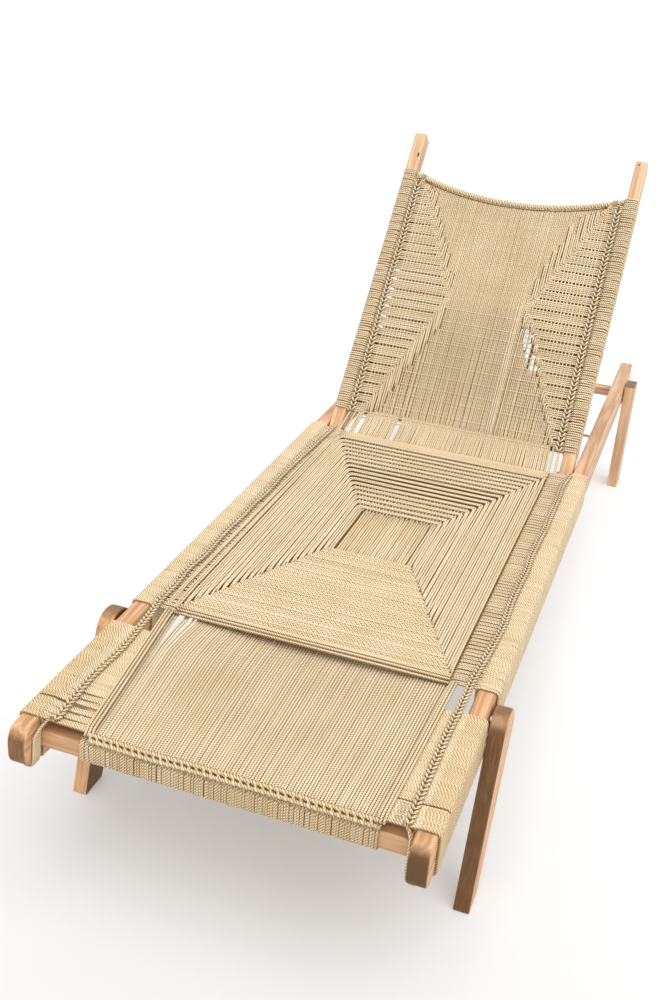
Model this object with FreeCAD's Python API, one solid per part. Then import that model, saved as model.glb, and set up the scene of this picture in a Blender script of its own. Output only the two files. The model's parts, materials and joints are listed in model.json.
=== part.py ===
import FreeCAD, Part
import math
import os
from FreeCAD import Vector

# Woven chaise longue: two side rails on four legs, a hinged backrest and a folding prop, laced with cord.
# Millimetres. X runs across, Y from the foot end to the head end, Z up from the floor.
# The origin is on the floor under the middle of the rails.

# Side rails
rail_length = 1947.0
rail_spread = 600.0          # over the outer faces
rail_width = 28.7
rail_height = 64.0
rail_top = 282.0
rail_edge = 4.0              # round-over of the long edges
nose_top_radius = 26.0
nose_bottom_radius = 20.0
tail_radius = 5.0
cut_over = 1.0               # how far a cutting shape runs past what it cuts
edge_share = 0.98            # most of an edge that rounding may take

# Cord and weave
cord = 4.6                   # one layer of cord
weave_thickness = 9.0
weave_drop = 1.6             # from the top of the rail wraps down to the weave
soft_gap = 0.3               # between a soft piece and its neighbour
braid_width = 10.0
braid_height = 5.0
braid_inset = 8.7            # from the inside of a wrap to the middle of the braid
braid_round = 1.6
rope_radius = 6.0

# Places along the rails, measured from the nose tips
front_cross_at = 36.0
foot_wrap_setback = 3.0      # from the front cross rail's front to the cord
front_foot_at = 206.0        # front edge of a front foot
front_head_at = 300.0        # front corner of its head, before rounding
bare_length = 68.0           # stretch of rail left bare for a front leg's bolts

# Lengths that follow each other along the rails from the front legs' bolts
seat_front_width = 21.0      # cords along the seat's front edge
seat_length = 761.0          # the mitred fields
seat_back_width = 32.0       # cords along the seat's back edge
seat_wrap_tail = 8.0
heel_gap = 7.0               # between the seat's cord and an upright's heel
axle_setback = 316.0         # behind the hinges

# Places measured from the rails' tails
rear_leg_inset = 103.0       # back face of a rear leg
rear_cross_inset = 67.0      # back of the rear cross rail

# Cross rails
front_cross_depth = 28.0
front_cross_height = 28.0
front_cross_drop = 18.0      # from the rail tops
rear_cross_depth = 30.0
rear_cross_height = 19.5
cross_edge = 3.0
tenon_length = 18.0
tenon_shoulder = 4.5
joinery_gap = 0.1

# Legs
leg_thickness = 25.0
leg_edge = 2.5
leg_clearance = 0.6          # between a front leg and the cord on the rail
front_foot_width = 52.0
front_head_width = 91.0      # before rounding
head_front_radius = 36.0
head_back_radius = 40.0
rear_leg_width = 58.0
rear_leg_drop = 9.0          # top of a rear leg below the rail top
rear_leg_standoff = 2.5      # between a rear leg and the rail
foot_corner = 3.0

# Leg bolts
bolt_radius = 4.0
bolt_head_radius = 7.0
bolt_head_height = 5.0
bolt_drop = 27.0             # top bolt below the rail top
bolt_pitch = 24.0
insert_radius = 6.0
insert_length = 20.0
socket_radius = 3.2
spacer_radius = 9.5
thread_gap = 0.05

# Backrest
back_angle = 48.55           # from lying flat
pivot_drop = 20.0            # below the rail tops
upright_length = 748.0       # from the hinge to the top end
upright_depth = 40.0
upright_thickness = 26.5
upright_side_gap = 2.3       # between a rail and the upright inside it
upright_edge = 3.5
upright_wrap_start = 48.0    # from the hinge
upright_bare_top = 98.0      # left bare above the cord
wrap_clearance = 0.9         # between an upright's cord and the rail
back_panel_back = 10.0       # back of the weave, forward of the uprights' middle
back_panel_thickness = 8.0
back_panel_start = 46.0
heel_flat = 1.0              # left between the two rounded corners of a heel
rope_sag = 43.0
rope_drop = 8.0              # ends of the rope below the tops of the wraps
waist_half_width = 90.0
waist_at = 352.0
lower_half_width = 212.0
upper_half_width = 200.0
tie_hole_radius = 2.0
left_tie_hole_drop = 55.0    # upper end of the left one, a slot
left_tie_hole_inset = 5.5
left_tie_slot = 8.0          # between the middles of its round ends
right_tie_hole_drop = 12.0
right_tie_hole_inset = 8.5

# Hinges
pin_radius = 4.0
pin_depth = 20.0             # into the rail
running_gap = 0.05
face_gap = 0.3
washer_radius = 11.0
nut_flat = 13.0
nut_height = 6.2

# Framing behind the back weave
stretcher_depth = 18.0
stretcher_front = 2.0        # behind the uprights' middle
lower_stretcher_at = 150.0
upper_stretcher_drop = 130.0  # below the tops of the wraps
stretcher_height = 36.0
stretcher_tenon = 12.0
rack_middle = 150.0
rack_width = 20.0
rack_proud = 4.0             # behind the uprights
notch_depth = 3.0
notch_pitch = 78.0
notches_below = 2            # below the one in use
notches_above = 1
notch_setback = 360.0        # the one in use, from the hinge

# Prop
axle_radius = 3.5
axle_depth = 16.0            # into the rail
axle_clearance = 1.9         # under the uprights lying flat
bar_radius = 6.0
bar_gap = 1.5                # between the bar and the racks
bar_overhang = 3.0
arm_side_gap = 12.0          # between an arm and the rack beside it
arm_thickness = 18.0
arm_axle_radius = 12.0
arm_bar_radius = 10.0
prop_stretcher_at = 120.0
prop_stretcher_radius = 8.0

# Seat pattern
seat_field_half_width = 226.0
centre_half_width = 77.0
centre_setback = 288.0       # from the seat's front field edge
centre_length = 160.0
centre_recess = 3.0

# Foot panel
foot_back_half_width = 232.0
foot_front_left = 190.0
foot_front_right = 222.0
front_wrap_left = 207.0
front_wrap_right = 224.0
lashing_width = 16.0

# Derived places
nose_y = -rail_length / 2
rail_outer = rail_spread / 2
rail_inner = rail_outer - rail_width
rail_bottom = rail_top - rail_height
wrap_outer = rail_outer + cord
wrap_inner = rail_inner - cord
wrap_top = rail_top + cord
weave_top = wrap_top - weave_drop
weave_bottom = weave_top - weave_thickness
front_leg_inner = wrap_outer + leg_clearance
rear_leg_inner = rail_outer + rear_leg_standoff
rear_leg_at = rail_length - rear_leg_inset - rear_leg_width
rear_cross_at = rail_length - rear_cross_inset - rear_cross_depth
bolt_top = rail_top - bolt_drop
foot_middle = front_foot_at + front_foot_width / 2
head_middle = front_head_at + front_head_width / 2
front_lean = (head_middle - foot_middle) / rail_top
bolts_at = foot_middle + front_lean * (bolt_top - bolt_pitch / 2)
foot_wrap_start = front_cross_at + foot_wrap_setback
foot_wrap_end = bolts_at - bare_length / 2
seat_wrap_start = bolts_at + bare_length / 2
seat_front = seat_wrap_start + seat_front_width
seat_back = seat_front + seat_length
seat_back_rope_end = seat_back + seat_back_width
seat_wrap_end = seat_back_rope_end + seat_wrap_tail
pivot_at = seat_wrap_end + heel_gap + upright_depth / 2
pivot_y = nose_y + pivot_at
pivot_z = rail_top - pivot_drop
upright_outer = rail_inner - upright_side_gap
upright_inner = upright_outer - upright_thickness
upright_wrapped_outer = rail_inner - wrap_clearance - cord
half_depth = upright_depth / 2
panel_edge = upright_inner - cord - soft_gap
upright_wrap_end = upright_length - upright_bare_top
upper_stretcher_at = upright_wrap_end - upper_stretcher_drop
rope_end_at = upright_wrap_end - rope_drop
rope_arc_radius = (panel_edge ** 2 + rope_sag ** 2) / (2 * rope_sag)
axle_y = pivot_y + axle_setback
axle_z = pivot_z - half_depth - cord - axle_clearance - axle_radius
rear_cross_top = pivot_z - half_depth - cord - soft_gap
rack_back = -half_depth - rack_proud
bar_offset = rack_back - bar_radius - bar_gap
arm_inner = rack_middle + rack_width / 2 + arm_side_gap
arm_outer = arm_inner + arm_thickness


def station(distance):
    """Y of a place given by its distance from the nose tips."""
    return nose_y + distance


def block(x0, x1, y0, y1, z0, z1):
    """Box between two corners."""
    return Part.makeBox(x1 - x0, y1 - y0, z1 - z0, Vector(x0, y0, z0))


def bar_x(x0, x1, y, z, radius):
    """Round bar along X."""
    return Part.makeCylinder(radius, x1 - x0, Vector(x0, y, z), Vector(1, 0, 0))


def rounded_corner(before, corner, after):
    """Half the angle at a corner and how far its arc reaches along both edges."""
    here = Vector(corner[0], corner[1], 0)
    back = (Vector(before[0], before[1], 0) - here).normalize()
    ahead = (Vector(after[0], after[1], 0) - here).normalize()
    half = back.getAngle(ahead) / 2
    return here, back, ahead, half, corner[2] / math.tan(half)


def outline(corners, place):
    """Closed wire through (u, v, radius) corners, each rounded by an arc; place turns (u, v) into a point."""
    count = len(corners)
    turns = [rounded_corner(corners[i - 1], corners[i], corners[(i + 1) % count]) for i in range(count)]
    arcs = []
    for i in range(count):
        here, back, ahead, half, reach = turns[i]
        for other in (turns[i - 1], turns[(i + 1) % count]):
            room = edge_share * here.distanceToPoint(other[0])
            if turns[i][4] + other[4] > room:
                reach = min(reach, turns[i][4] * room / (turns[i][4] + other[4]))
        radius = reach * math.tan(half)
        middle = (back + ahead).normalize()
        crown = here + middle * (radius / math.sin(half) - radius)
        arcs.append((here + back * reach, crown, here + ahead * reach))
    edges = []
    for i in range(count):
        start, crown, finish = [place(p.x, p.y) for p in arcs[i]]
        if corners[i][2] > 0:
            edges.append(Part.Arc(start, crown, finish).toShape())
        following = arcs[(i + 1) % count][0]
        edges.append(Part.LineSegment(finish, place(following.x, following.y)).toShape())
    return Part.Wire(edges)


def board(corners, x0, x1, edge):
    """Board with a rounded (y, z) outline, from x0 to x1, its two outlines rounded over."""
    face = Part.Face(outline(corners, lambda u, v: Vector(x0, u, v)))
    solid = face.extrude(Vector(x1 - x0, 0, 0))
    rims = []
    for side in solid.Faces:
        if abs(side.normalAt(0, 0).x) > 0.99:
            rims.extend(side.Edges)
    least = min(corner[2] for corner in corners)
    return solid.makeFillet(min(edge, edge_share * least), rims)


def hexagon(x, y, z, corner, length):
    """Six-sided prism along X."""
    turns = [math.radians(60 * i) for i in range(7)]
    points = [Vector(x, y + corner * math.cos(turn), z + corner * math.sin(turn)) for turn in turns]
    return Part.Face(Part.makePolygon(points)).extrude(Vector(length, 0, 0))


def slab(corners, z0, z1):
    """Flat plate with an (x, y) outline."""
    face = Part.makePolygon([Vector(x, y, z0) for x, y in corners + corners[:1]])
    return Part.Face(face).extrude(Vector(0, 0, z1 - z0))


def rounded_bar(x0, x1, y0, y1, z0, z1, edge):
    """Bar along X with its four long edges rounded."""
    solid = block(x0, x1, y0, y1, z0, z1)
    long_edges = [e for e in solid.Edges if abs(e.tangentAt(e.FirstParameter).x) > 0.99]
    return solid.makeFillet(edge, long_edges)


def rounded_post(x0, x1, y0, y1, z0, z1, edge):
    """Bar along Y with its four long edges rounded."""
    solid = block(x0, x1, y0, y1, z0, z1)
    long_edges = [e for e in solid.Edges if abs(e.tangentAt(e.FirstParameter).y) > 0.99]
    return solid.makeFillet(edge, long_edges)


def mirrored(shape):
    """The same piece on the left."""
    return shape.mirror(Vector(0, 0, 0), Vector(1, 0, 0))


def reclined(shape):
    """A backrest piece, drawn lying flat behind the hinge, turned up to the rest angle."""
    turned = shape.copy()
    turned.rotate(Vector(0, pivot_y, pivot_z), Vector(1, 0, 0), back_angle)
    return turned


def save(name, *solids):
    """Write one node."""
    shape = solids[0] if len(solids) == 1 else Part.makeCompound(list(solids))
    shape.exportStep("parts/" + name + ".step")


def save_pair(name, shape):
    """Write the right-hand piece and its mirror image."""
    save("right_" + name, shape)
    save("left_" + name, mirrored(shape))


# Legs

def front_leg():
    """Leaning leg, wider towards its rounded head."""
    foot = station(front_foot_at)
    head = station(front_head_at)
    corners = [(foot, 0, foot_corner), (foot + front_foot_width, 0, foot_corner),
               (head + front_head_width, rail_top, head_back_radius), (head, rail_top, head_front_radius)]
    return board(corners, front_leg_inner, front_leg_inner + leg_thickness, leg_edge)


def rear_leg():
    """Upright leg with a squared top."""
    y0 = station(rear_leg_at)
    y1 = y0 + rear_leg_width
    top = rail_top - rear_leg_drop
    corners = [(y0, 0, foot_corner), (y1, 0, foot_corner), (y1, top, foot_corner), (y0, top, foot_corner)]
    return board(corners, rear_leg_inner, rear_leg_inner + leg_thickness, leg_edge)


def front_bolt_places():
    """The two bolt centres on a front leg's middle line."""
    heights = (bolt_top, bolt_top - bolt_pitch)
    return [Vector(front_leg_inner, station(foot_middle + front_lean * z), z) for z in heights]


def rear_bolt_places():
    """The two bolt centres on a rear leg's middle line."""
    heights = (bolt_top, bolt_top - bolt_pitch)
    return [Vector(rear_leg_inner, station(rear_leg_at + rear_leg_width / 2), z) for z in heights]


def drilled_leg(leg, places):
    """Bolt holes with sunk heads."""
    for place in places:
        outer = place.x + leg_thickness
        leg = leg.cut(bar_x(place.x - cut_over, outer + cut_over, place.y, place.z, bolt_radius + thread_gap))
        leg = leg.cut(bar_x(outer - bolt_head_height, outer + cut_over, place.y, place.z,
                            bolt_head_radius + joinery_gap))
    return leg


def leg_bolt(place):
    """Cap bolt from the leg's outer face into the rail's insert."""
    outer = place.x + leg_thickness
    seat = outer - bolt_head_height
    shank = bar_x(rail_outer - insert_length, seat, place.y, place.z, bolt_radius)
    head = bar_x(seat, outer, place.y, place.z, bolt_head_radius)
    socket = hexagon(outer, place.y, place.z, socket_radius, -bolt_head_height / 2)
    return shank.fuse(head).removeSplitter().cut(socket)


def leg_insert(place):
    """Threaded sleeve set into the rail."""
    sleeve = bar_x(rail_outer - insert_length, rail_outer, place.y, place.z, insert_radius)
    return sleeve.cut(bar_x(rail_outer - insert_length - cut_over, rail_outer + cut_over, place.y, place.z,
                            bolt_radius + thread_gap))


def leg_spacer(place):
    """Washer that holds a leg clear of the rail."""
    ring = bar_x(rail_outer, place.x, place.y, place.z, spacer_radius)
    return ring.cut(bar_x(rail_outer - cut_over, place.x + cut_over, place.y, place.z,
                          bolt_radius + thread_gap))


# Rails

def cross_rail(at, depth, top, height):
    """Cross rail with a tenon at each end, and the box that its mortise needs."""
    y0 = station(at)
    body = rounded_bar(-rail_inner, rail_inner, y0, y0 + depth, top - height, top, cross_edge)
    end = rail_inner + tenon_length
    tenon = block(-end, end, y0 + tenon_shoulder, y0 + depth - tenon_shoulder,
                  top - height + tenon_shoulder, top - tenon_shoulder)
    mortise = block(rail_inner - cut_over, end + joinery_gap,
                    y0 + tenon_shoulder - joinery_gap, y0 + depth - tenon_shoulder + joinery_gap,
                    top - height + tenon_shoulder - joinery_gap, top - tenon_shoulder + joinery_gap)
    return body.fuse(tenon).removeSplitter(), mortise


def side_rail(bolts, mortises):
    """Rail with a rounded nose, drilled for the legs, the hinge pin and the prop's axle."""
    tail_y = nose_y + rail_length
    corners = [(nose_y, rail_bottom, nose_bottom_radius), (tail_y, rail_bottom, tail_radius),
               (tail_y, rail_top, tail_radius), (nose_y, rail_top, nose_top_radius)]
    rail = board(corners, rail_inner, rail_outer, rail_edge)
    for place in bolts:
        rail = rail.cut(bar_x(rail_outer - insert_length - joinery_gap, rail_outer + cut_over, place.y, place.z,
                              insert_radius + thread_gap))
    for mortise in mortises:
        rail = rail.cut(mortise)
    rail = rail.cut(bar_x(rail_inner - cut_over, rail_inner + pin_depth + joinery_gap, pivot_y, pivot_z,
                          pin_radius + running_gap))
    return rail.cut(bar_x(rail_inner - cut_over, rail_inner + axle_depth + joinery_gap, axle_y, axle_z,
                          axle_radius + running_gap))


def rail_wrap(start, end, bites):
    """Sleeve of cord round a rail, open where another piece comes through it."""
    y0 = station(start)
    y1 = station(end)
    sleeve = rounded_post(wrap_inner, wrap_outer, y0, y1, rail_bottom - cord, wrap_top, rail_edge + cord)
    sleeve = sleeve.cut(rounded_post(rail_inner, rail_outer, y0 - cut_over, y1 + cut_over,
                                     rail_bottom, rail_top, rail_edge))
    for bite in bites:
        sleeve = sleeve.cut(bite)
    return sleeve


# Backrest, drawn lying flat: Y is measured from the hinge, Z from the uprights' middle

def back_block(x0, x1, a0, a1, b0, b1):
    """Box in the backrest's own places, still lying flat."""
    return block(x0, x1, pivot_y + a0, pivot_y + a1, pivot_z + b0, pivot_z + b1)


def stretcher(at):
    """Cross piece behind the weave, tenoned into both uprights."""
    body = back_block(-upright_inner, upright_inner, at, at + stretcher_height,
                      -stretcher_front - stretcher_depth, -stretcher_front)
    end = upright_inner + stretcher_tenon
    tenon = back_block(-end, end, at + tenon_shoulder, at + stretcher_height - tenon_shoulder,
                       -stretcher_front - stretcher_depth + tenon_shoulder, -stretcher_front - tenon_shoulder)
    return body.fuse(tenon).removeSplitter()


def stretcher_mortise(at):
    """Pocket for a stretcher's tenon in the right upright."""
    return back_block(upright_inner - cut_over, upright_inner + stretcher_tenon + joinery_gap,
                      at + tenon_shoulder - joinery_gap, at + stretcher_height - tenon_shoulder + joinery_gap,
                      -stretcher_front - stretcher_depth + tenon_shoulder - joinery_gap,
                      -stretcher_front - tenon_shoulder + joinery_gap)


def tie_hole(inset, drop):
    """Round hole from an upright's front to its middle."""
    place = Vector(upright_inner + inset, pivot_y + upright_length - drop, pivot_z + cut_over)
    return Part.makeCylinder(tie_hole_radius, half_depth, place)


def upright():
    """Upright with a round heel at the hinge, let in on its outer face under the cord."""
    y0 = pivot_y
    y1 = pivot_y + upright_length
    heel = half_depth - heel_flat / 2
    corners = [(y0 - half_depth, pivot_z - half_depth, heel), (y1, pivot_z - half_depth, upright_edge),
               (y1, pivot_z + half_depth, 2 * upright_edge), (y0 - half_depth, pivot_z + half_depth, heel)]
    post = board(corners, upright_inner, upright_outer, upright_edge)
    post = post.cut(back_block(upright_wrapped_outer, upright_outer + cut_over, upright_wrap_start,
                               upright_wrap_end, -half_depth - cut_over, half_depth + cut_over))
    for at in (lower_stretcher_at, upper_stretcher_at):
        post = post.cut(stretcher_mortise(at))
    return post.cut(bar_x(upright_inner - cut_over, upright_outer + cut_over, pivot_y, pivot_z,
                          pin_radius + running_gap))


def upright_wrap():
    """Sleeve of cord round an upright, open for the stretchers."""
    y0 = pivot_y + upright_wrap_start
    y1 = pivot_y + upright_wrap_end
    sleeve = rounded_post(upright_inner - cord, upright_wrapped_outer + cord, y0, y1,
                          pivot_z - half_depth - cord, pivot_z + half_depth + cord, upright_edge + cord)
    sleeve = sleeve.cut(block(upright_inner, upright_wrapped_outer, y0 - cut_over, y1 + cut_over,
                              pivot_z - half_depth, pivot_z + half_depth))
    for at in (lower_stretcher_at, upper_stretcher_at):
        sleeve = sleeve.cut(back_block(upright_inner - cord - cut_over, upright_inner,
                                       at - soft_gap, at + stretcher_height + soft_gap,
                                       -stretcher_front - stretcher_depth - soft_gap,
                                       -stretcher_front + soft_gap))
    return sleeve


def rack():
    """Notched strip between the stretchers, for the prop's bar."""
    x0 = rack_middle - rack_width / 2
    x1 = rack_middle + rack_width / 2
    strip = back_block(x0, x1, lower_stretcher_at + stretcher_height, upper_stretcher_at, rack_back,
                       -stretcher_front)
    for step in range(-notches_below, notches_above + 1):
        strip = strip.cut(bar_x(x0 - cut_over, x1 + cut_over, pivot_y + notch_setback + step * notch_pitch,
                                pivot_z + rack_back + notch_depth - bar_radius - joinery_gap,
                                bar_radius + joinery_gap))
    return strip


def back_fields():
    """The hourglass in the middle of the back weave and the field of bands beside it."""
    z0 = pivot_z + back_panel_back
    z1 = z0 + back_panel_thickness
    arc_centre = Vector(0, pivot_y + rope_end_at - rope_sag + rope_arc_radius, z0 - cut_over)
    above_rope = Part.makeCylinder(rope_arc_radius + rope_radius + soft_gap,
                                   back_panel_thickness + 2 * cut_over, arc_centre)
    left_half = [(-lower_half_width, back_panel_start), (-waist_half_width, waist_at),
                 (-upper_half_width, rope_end_at)]
    right_half = [(-x, a) for x, a in reversed(left_half)]
    side_half = right_half + [(panel_edge, back_panel_start), (panel_edge, rope_end_at)]
    centre = slab([(x, pivot_y + a) for x, a in left_half + right_half], z0, z1)
    side = slab([(x, pivot_y + a) for x, a in side_half], z0, z1)
    return centre.cut(above_rope), side.cut(above_rope)


def top_rope():
    """Rope that hangs in a shallow arc between the tops of the wraps."""
    z = pivot_z + back_panel_back + back_panel_thickness / 2
    low = Vector(0, pivot_y + rope_end_at - rope_sag, z)
    left_end = Vector(-panel_edge, pivot_y + rope_end_at, z)
    right_end = Vector(panel_edge, pivot_y + rope_end_at, z)
    path = Part.Arc(left_end, low, right_end).toShape()
    section = Part.Wire(Part.makeCircle(rope_radius, left_end, path.tangentAt(path.FirstParameter)))
    rope = Part.Wire(path).makePipeShell([section], True, False)
    return rope.common(back_block(-panel_edge, panel_edge, 0, upright_length, -half_depth, half_depth))


# Prop

def prop_ends():
    """Axle and bar of the prop at rest."""
    turn = math.radians(back_angle)
    bar = Vector(0, pivot_y + notch_setback * math.cos(turn) - bar_offset * math.sin(turn),
                 pivot_z + notch_setback * math.sin(turn) + bar_offset * math.cos(turn))
    return Vector(0, axle_y, axle_z), bar


def prop_arm(axle, bar, middle):
    """Tapered arm from the axle to the bar, bored for both and for the stretcher."""
    x0 = arm_inner
    x1 = arm_outer
    along = bar - axle
    tilt = math.asin((arm_axle_radius - arm_bar_radius) / along.Length)
    along.normalize()
    across = Vector(0, -along.z, along.y)
    rims = []
    for side in (1, -1):
        normal = across * (side * math.cos(tilt)) + along * math.sin(tilt)
        rims.append((axle + normal * arm_axle_radius, bar + normal * arm_bar_radius))
    corners = [rims[0][0], rims[0][1], rims[1][1], rims[1][0], rims[0][0]]
    web = Part.Face(Part.makePolygon([Vector(x0, p.y, p.z) for p in corners])).extrude(Vector(x1 - x0, 0, 0))
    ends = [bar_x(x0, x1, axle.y, axle.z, arm_axle_radius), bar_x(x0, x1, bar.y, bar.z, arm_bar_radius)]
    arm = web.fuse(ends).removeSplitter()
    for place, radius in ((axle, axle_radius), (bar, bar_radius), (middle, prop_stretcher_radius)):
        arm = arm.cut(bar_x(x0 - cut_over, x1 + cut_over, place.y, place.z, radius + running_gap))
    return arm


# Build

os.makedirs("parts", exist_ok=True)

front_bolts = front_bolt_places()
rear_bolts = rear_bolt_places()
bolts = front_bolts + rear_bolts

front_cross_top = rail_top - front_cross_drop
front_cross, front_mortise = cross_rail(front_cross_at, front_cross_depth, front_cross_top, front_cross_height)
rear_cross, rear_mortise = cross_rail(rear_cross_at, rear_cross_depth, rear_cross_top, rear_cross_height)
save("front_cross_rail", front_cross)
save("rear_cross_rail", rear_cross)
save_pair("side_rail", side_rail(bolts, [front_mortise, rear_mortise]))

for name, leg, places in (("front_leg", front_leg(), front_bolts), ("rear_leg", rear_leg(), rear_bolts)):
    save_pair(name, drilled_leg(leg, places))
for name, maker in (("leg_bolts", leg_bolt), ("leg_inserts", leg_insert), ("leg_spacers", leg_spacer)):
    made = [maker(place) for place in bolts]
    save(name, *(made + [mirrored(piece) for piece in made]))

# Cord on the rails
cross_y0 = station(front_cross_at)
cross_y1 = cross_y0 + front_cross_depth
front_cross_bottom = front_cross_top - front_cross_height
cross_bite = block(wrap_inner - cut_over, rail_inner, cross_y0 - soft_gap, cross_y1 + soft_gap,
                   front_cross_bottom - soft_gap, front_cross_top + soft_gap)
save_pair("foot_wrap", rail_wrap(foot_wrap_start, foot_wrap_end, [cross_bite]))
save_pair("seat_wrap", rail_wrap(seat_wrap_start, seat_wrap_end, []))

front_sleeve = rounded_bar(-front_wrap_left, front_wrap_right, cross_y0 - cord, cross_y1 + cord,
                           front_cross_bottom - cord, front_cross_top + cord, cross_edge + cord)
front_core = rounded_bar(-front_wrap_left - cut_over, front_wrap_right + cut_over, cross_y0, cross_y1,
                         front_cross_bottom, front_cross_top, cross_edge)
save("front_rail_wrap", front_sleeve.cut(front_core))

# Seat weave
band_edge = wrap_inner - soft_gap
seat_half = seat_field_half_width
seat_edge_y0 = station(seat_wrap_start)
seat_y0 = station(seat_front)
seat_y1 = station(seat_back)
seat_edge_y1 = station(seat_back_rope_end)
centre_y0 = seat_y0 + centre_setback
centre_y1 = centre_y0 + centre_length
save_pair("seat_band", block(seat_half, band_edge, seat_edge_y0, seat_edge_y1, weave_bottom, weave_top))
outer_front = [(-seat_half, seat_y0), (seat_half, seat_y0)]
outer_back = [(seat_half, seat_y1), (-seat_half, seat_y1)]
inner_front = [(-centre_half_width, centre_y0), (centre_half_width, centre_y0)]
inner_back = [(centre_half_width, centre_y1), (-centre_half_width, centre_y1)]
save("seat_front_field", slab(outer_front + inner_front[::-1], weave_bottom, weave_top))
save("seat_back_field", slab(outer_back + inner_back[::-1], weave_bottom, weave_top))
save_pair("seat_side_field", slab([outer_front[1], outer_back[0], inner_back[0], inner_front[1]],
                                  weave_bottom, weave_top))
save("seat_centre_field", slab(inner_front + inner_back, weave_bottom, weave_top - centre_recess))
save("seat_front_rope", block(-seat_half, seat_half, seat_edge_y0, seat_y0, weave_bottom, weave_top))
save("seat_back_rope", block(-seat_half, seat_half, seat_y1, seat_edge_y1, weave_bottom, weave_top))

# Foot weave
foot_bottom = front_cross_top + cord + soft_gap
foot_top = foot_bottom + weave_thickness
foot_y0 = cross_y0 - cord
foot_y1 = seat_edge_y0 - soft_gap
foot_front = [(-foot_front_left, foot_y0), (foot_front_right, foot_y0)]
foot_back = [(foot_back_half_width, foot_y1), (-foot_back_half_width, foot_y1)]
save("foot_panel", slab(foot_front + foot_back, foot_bottom, foot_top))
band_y0 = station(foot_wrap_start)
band_y1 = station(foot_wrap_end)
for name, side, front in (("left_foot_band", -1, foot_front_left), ("right_foot_band", 1, foot_front_right)):
    slope = (foot_back_half_width - front) / (foot_y1 - foot_y0)
    edges = [(front + slope * (y - foot_y0), y) for y in (band_y0, band_y1)]
    corners = edges + [(band_edge, band_y1), (band_edge, band_y0)]
    save(name, slab([(side * x, y) for x, y in corners], weave_bottom, weave_top))
braid_x = wrap_inner - braid_inset
save_pair("rail_braid", rounded_post(braid_x - braid_width / 2, braid_x + braid_width / 2, band_y0,
                                     seat_edge_y1, weave_top, weave_top + braid_height, braid_round))
save("front_braid", rounded_bar(-foot_front_left, foot_front_right, foot_y0, foot_y0 + braid_width,
                                foot_top, foot_top + braid_height, braid_round))
save_pair("lashing", block(rail_inner - 2 * cord, rail_inner, cross_y0 - soft_gap - lashing_width,
                           cross_y0 - soft_gap, rail_bottom - cord, weave_bottom))

# Hinges
pin_end = upright_inner - face_gap - nut_height - face_gap
pin = bar_x(pin_end, rail_inner + pin_depth, pivot_y, pivot_z, pin_radius)
washer = bar_x(upright_outer + face_gap, rail_inner, pivot_y, pivot_z, washer_radius)
washer = washer.cut(bar_x(upright_outer, rail_inner + cut_over, pivot_y, pivot_z, pin_radius + running_gap))
nut_x = upright_inner - face_gap - nut_height
nut_corner = nut_flat / 2 / math.cos(math.pi / 6)
nut = hexagon(nut_x, pivot_y, pivot_z, nut_corner, nut_height)
nut = nut.cut(bar_x(nut_x - cut_over, nut_x + nut_height + cut_over, pivot_y, pivot_z,
                    pin_radius + running_gap))
for name, piece in (("hinge_pins", pin), ("hinge_washers", washer), ("hinge_nuts", nut)):
    save(name, piece, mirrored(piece))

# Backrest
plain_upright = upright()
slot_x = upright_inner + left_tie_hole_inset
slot_top = pivot_y + upright_length - left_tie_hole_drop
slot_sides = block(slot_x - tie_hole_radius, slot_x + tie_hole_radius, slot_top - left_tie_slot, slot_top,
                   pivot_z + cut_over, pivot_z + half_depth + cut_over)
left_upright = plain_upright.cut(slot_sides)
for drop in (left_tie_hole_drop, left_tie_hole_drop + left_tie_slot):
    left_upright = left_upright.cut(tie_hole(left_tie_hole_inset, drop))
save("left_upright", reclined(mirrored(left_upright)))
save("right_upright", reclined(plain_upright.cut(tie_hole(right_tie_hole_inset, right_tie_hole_drop))))
save("lower_back_stretcher", reclined(stretcher(lower_stretcher_at)))
save("upper_back_stretcher", reclined(stretcher(upper_stretcher_at)))
back_centre, back_side = back_fields()
back_braid_x = panel_edge - braid_inset
back_weave_front = back_panel_back + back_panel_thickness
back_braid = rounded_post(back_braid_x - braid_width / 2, back_braid_x + braid_width / 2,
                          pivot_y + back_panel_start, pivot_y + rope_end_at - rope_radius - braid_width,
                          pivot_z + back_weave_front, pivot_z + back_weave_front + braid_height, braid_round)
save("back_centre_field", reclined(back_centre))
for name, piece in (("upright_wrap", upright_wrap()), ("back_side_field", back_side),
                    ("back_braid", back_braid), ("rack", rack())):
    save_pair(name, reclined(piece))
save("top_rope", reclined(top_rope()))

# Prop
save("prop_axle", bar_x(-rail_inner - axle_depth, rail_inner + axle_depth, axle_y, axle_z, axle_radius))
axle_at, bar_centre = prop_ends()
middle_at = axle_at + (bar_centre - axle_at).normalize() * prop_stretcher_at
save_pair("prop_arm", prop_arm(axle_at, bar_centre, middle_at))
bar_end = arm_outer + bar_overhang
save("prop_bar", bar_x(-bar_end, bar_end, bar_centre.y, bar_centre.z, bar_radius))
save("prop_stretcher", bar_x(-arm_outer, arm_outer, middle_at.y, middle_at.z, prop_stretcher_radius))
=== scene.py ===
"""Woven chaise longue: cord weaves, wood and steel finishes and the stage, dressed on its fixed frame."""

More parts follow.
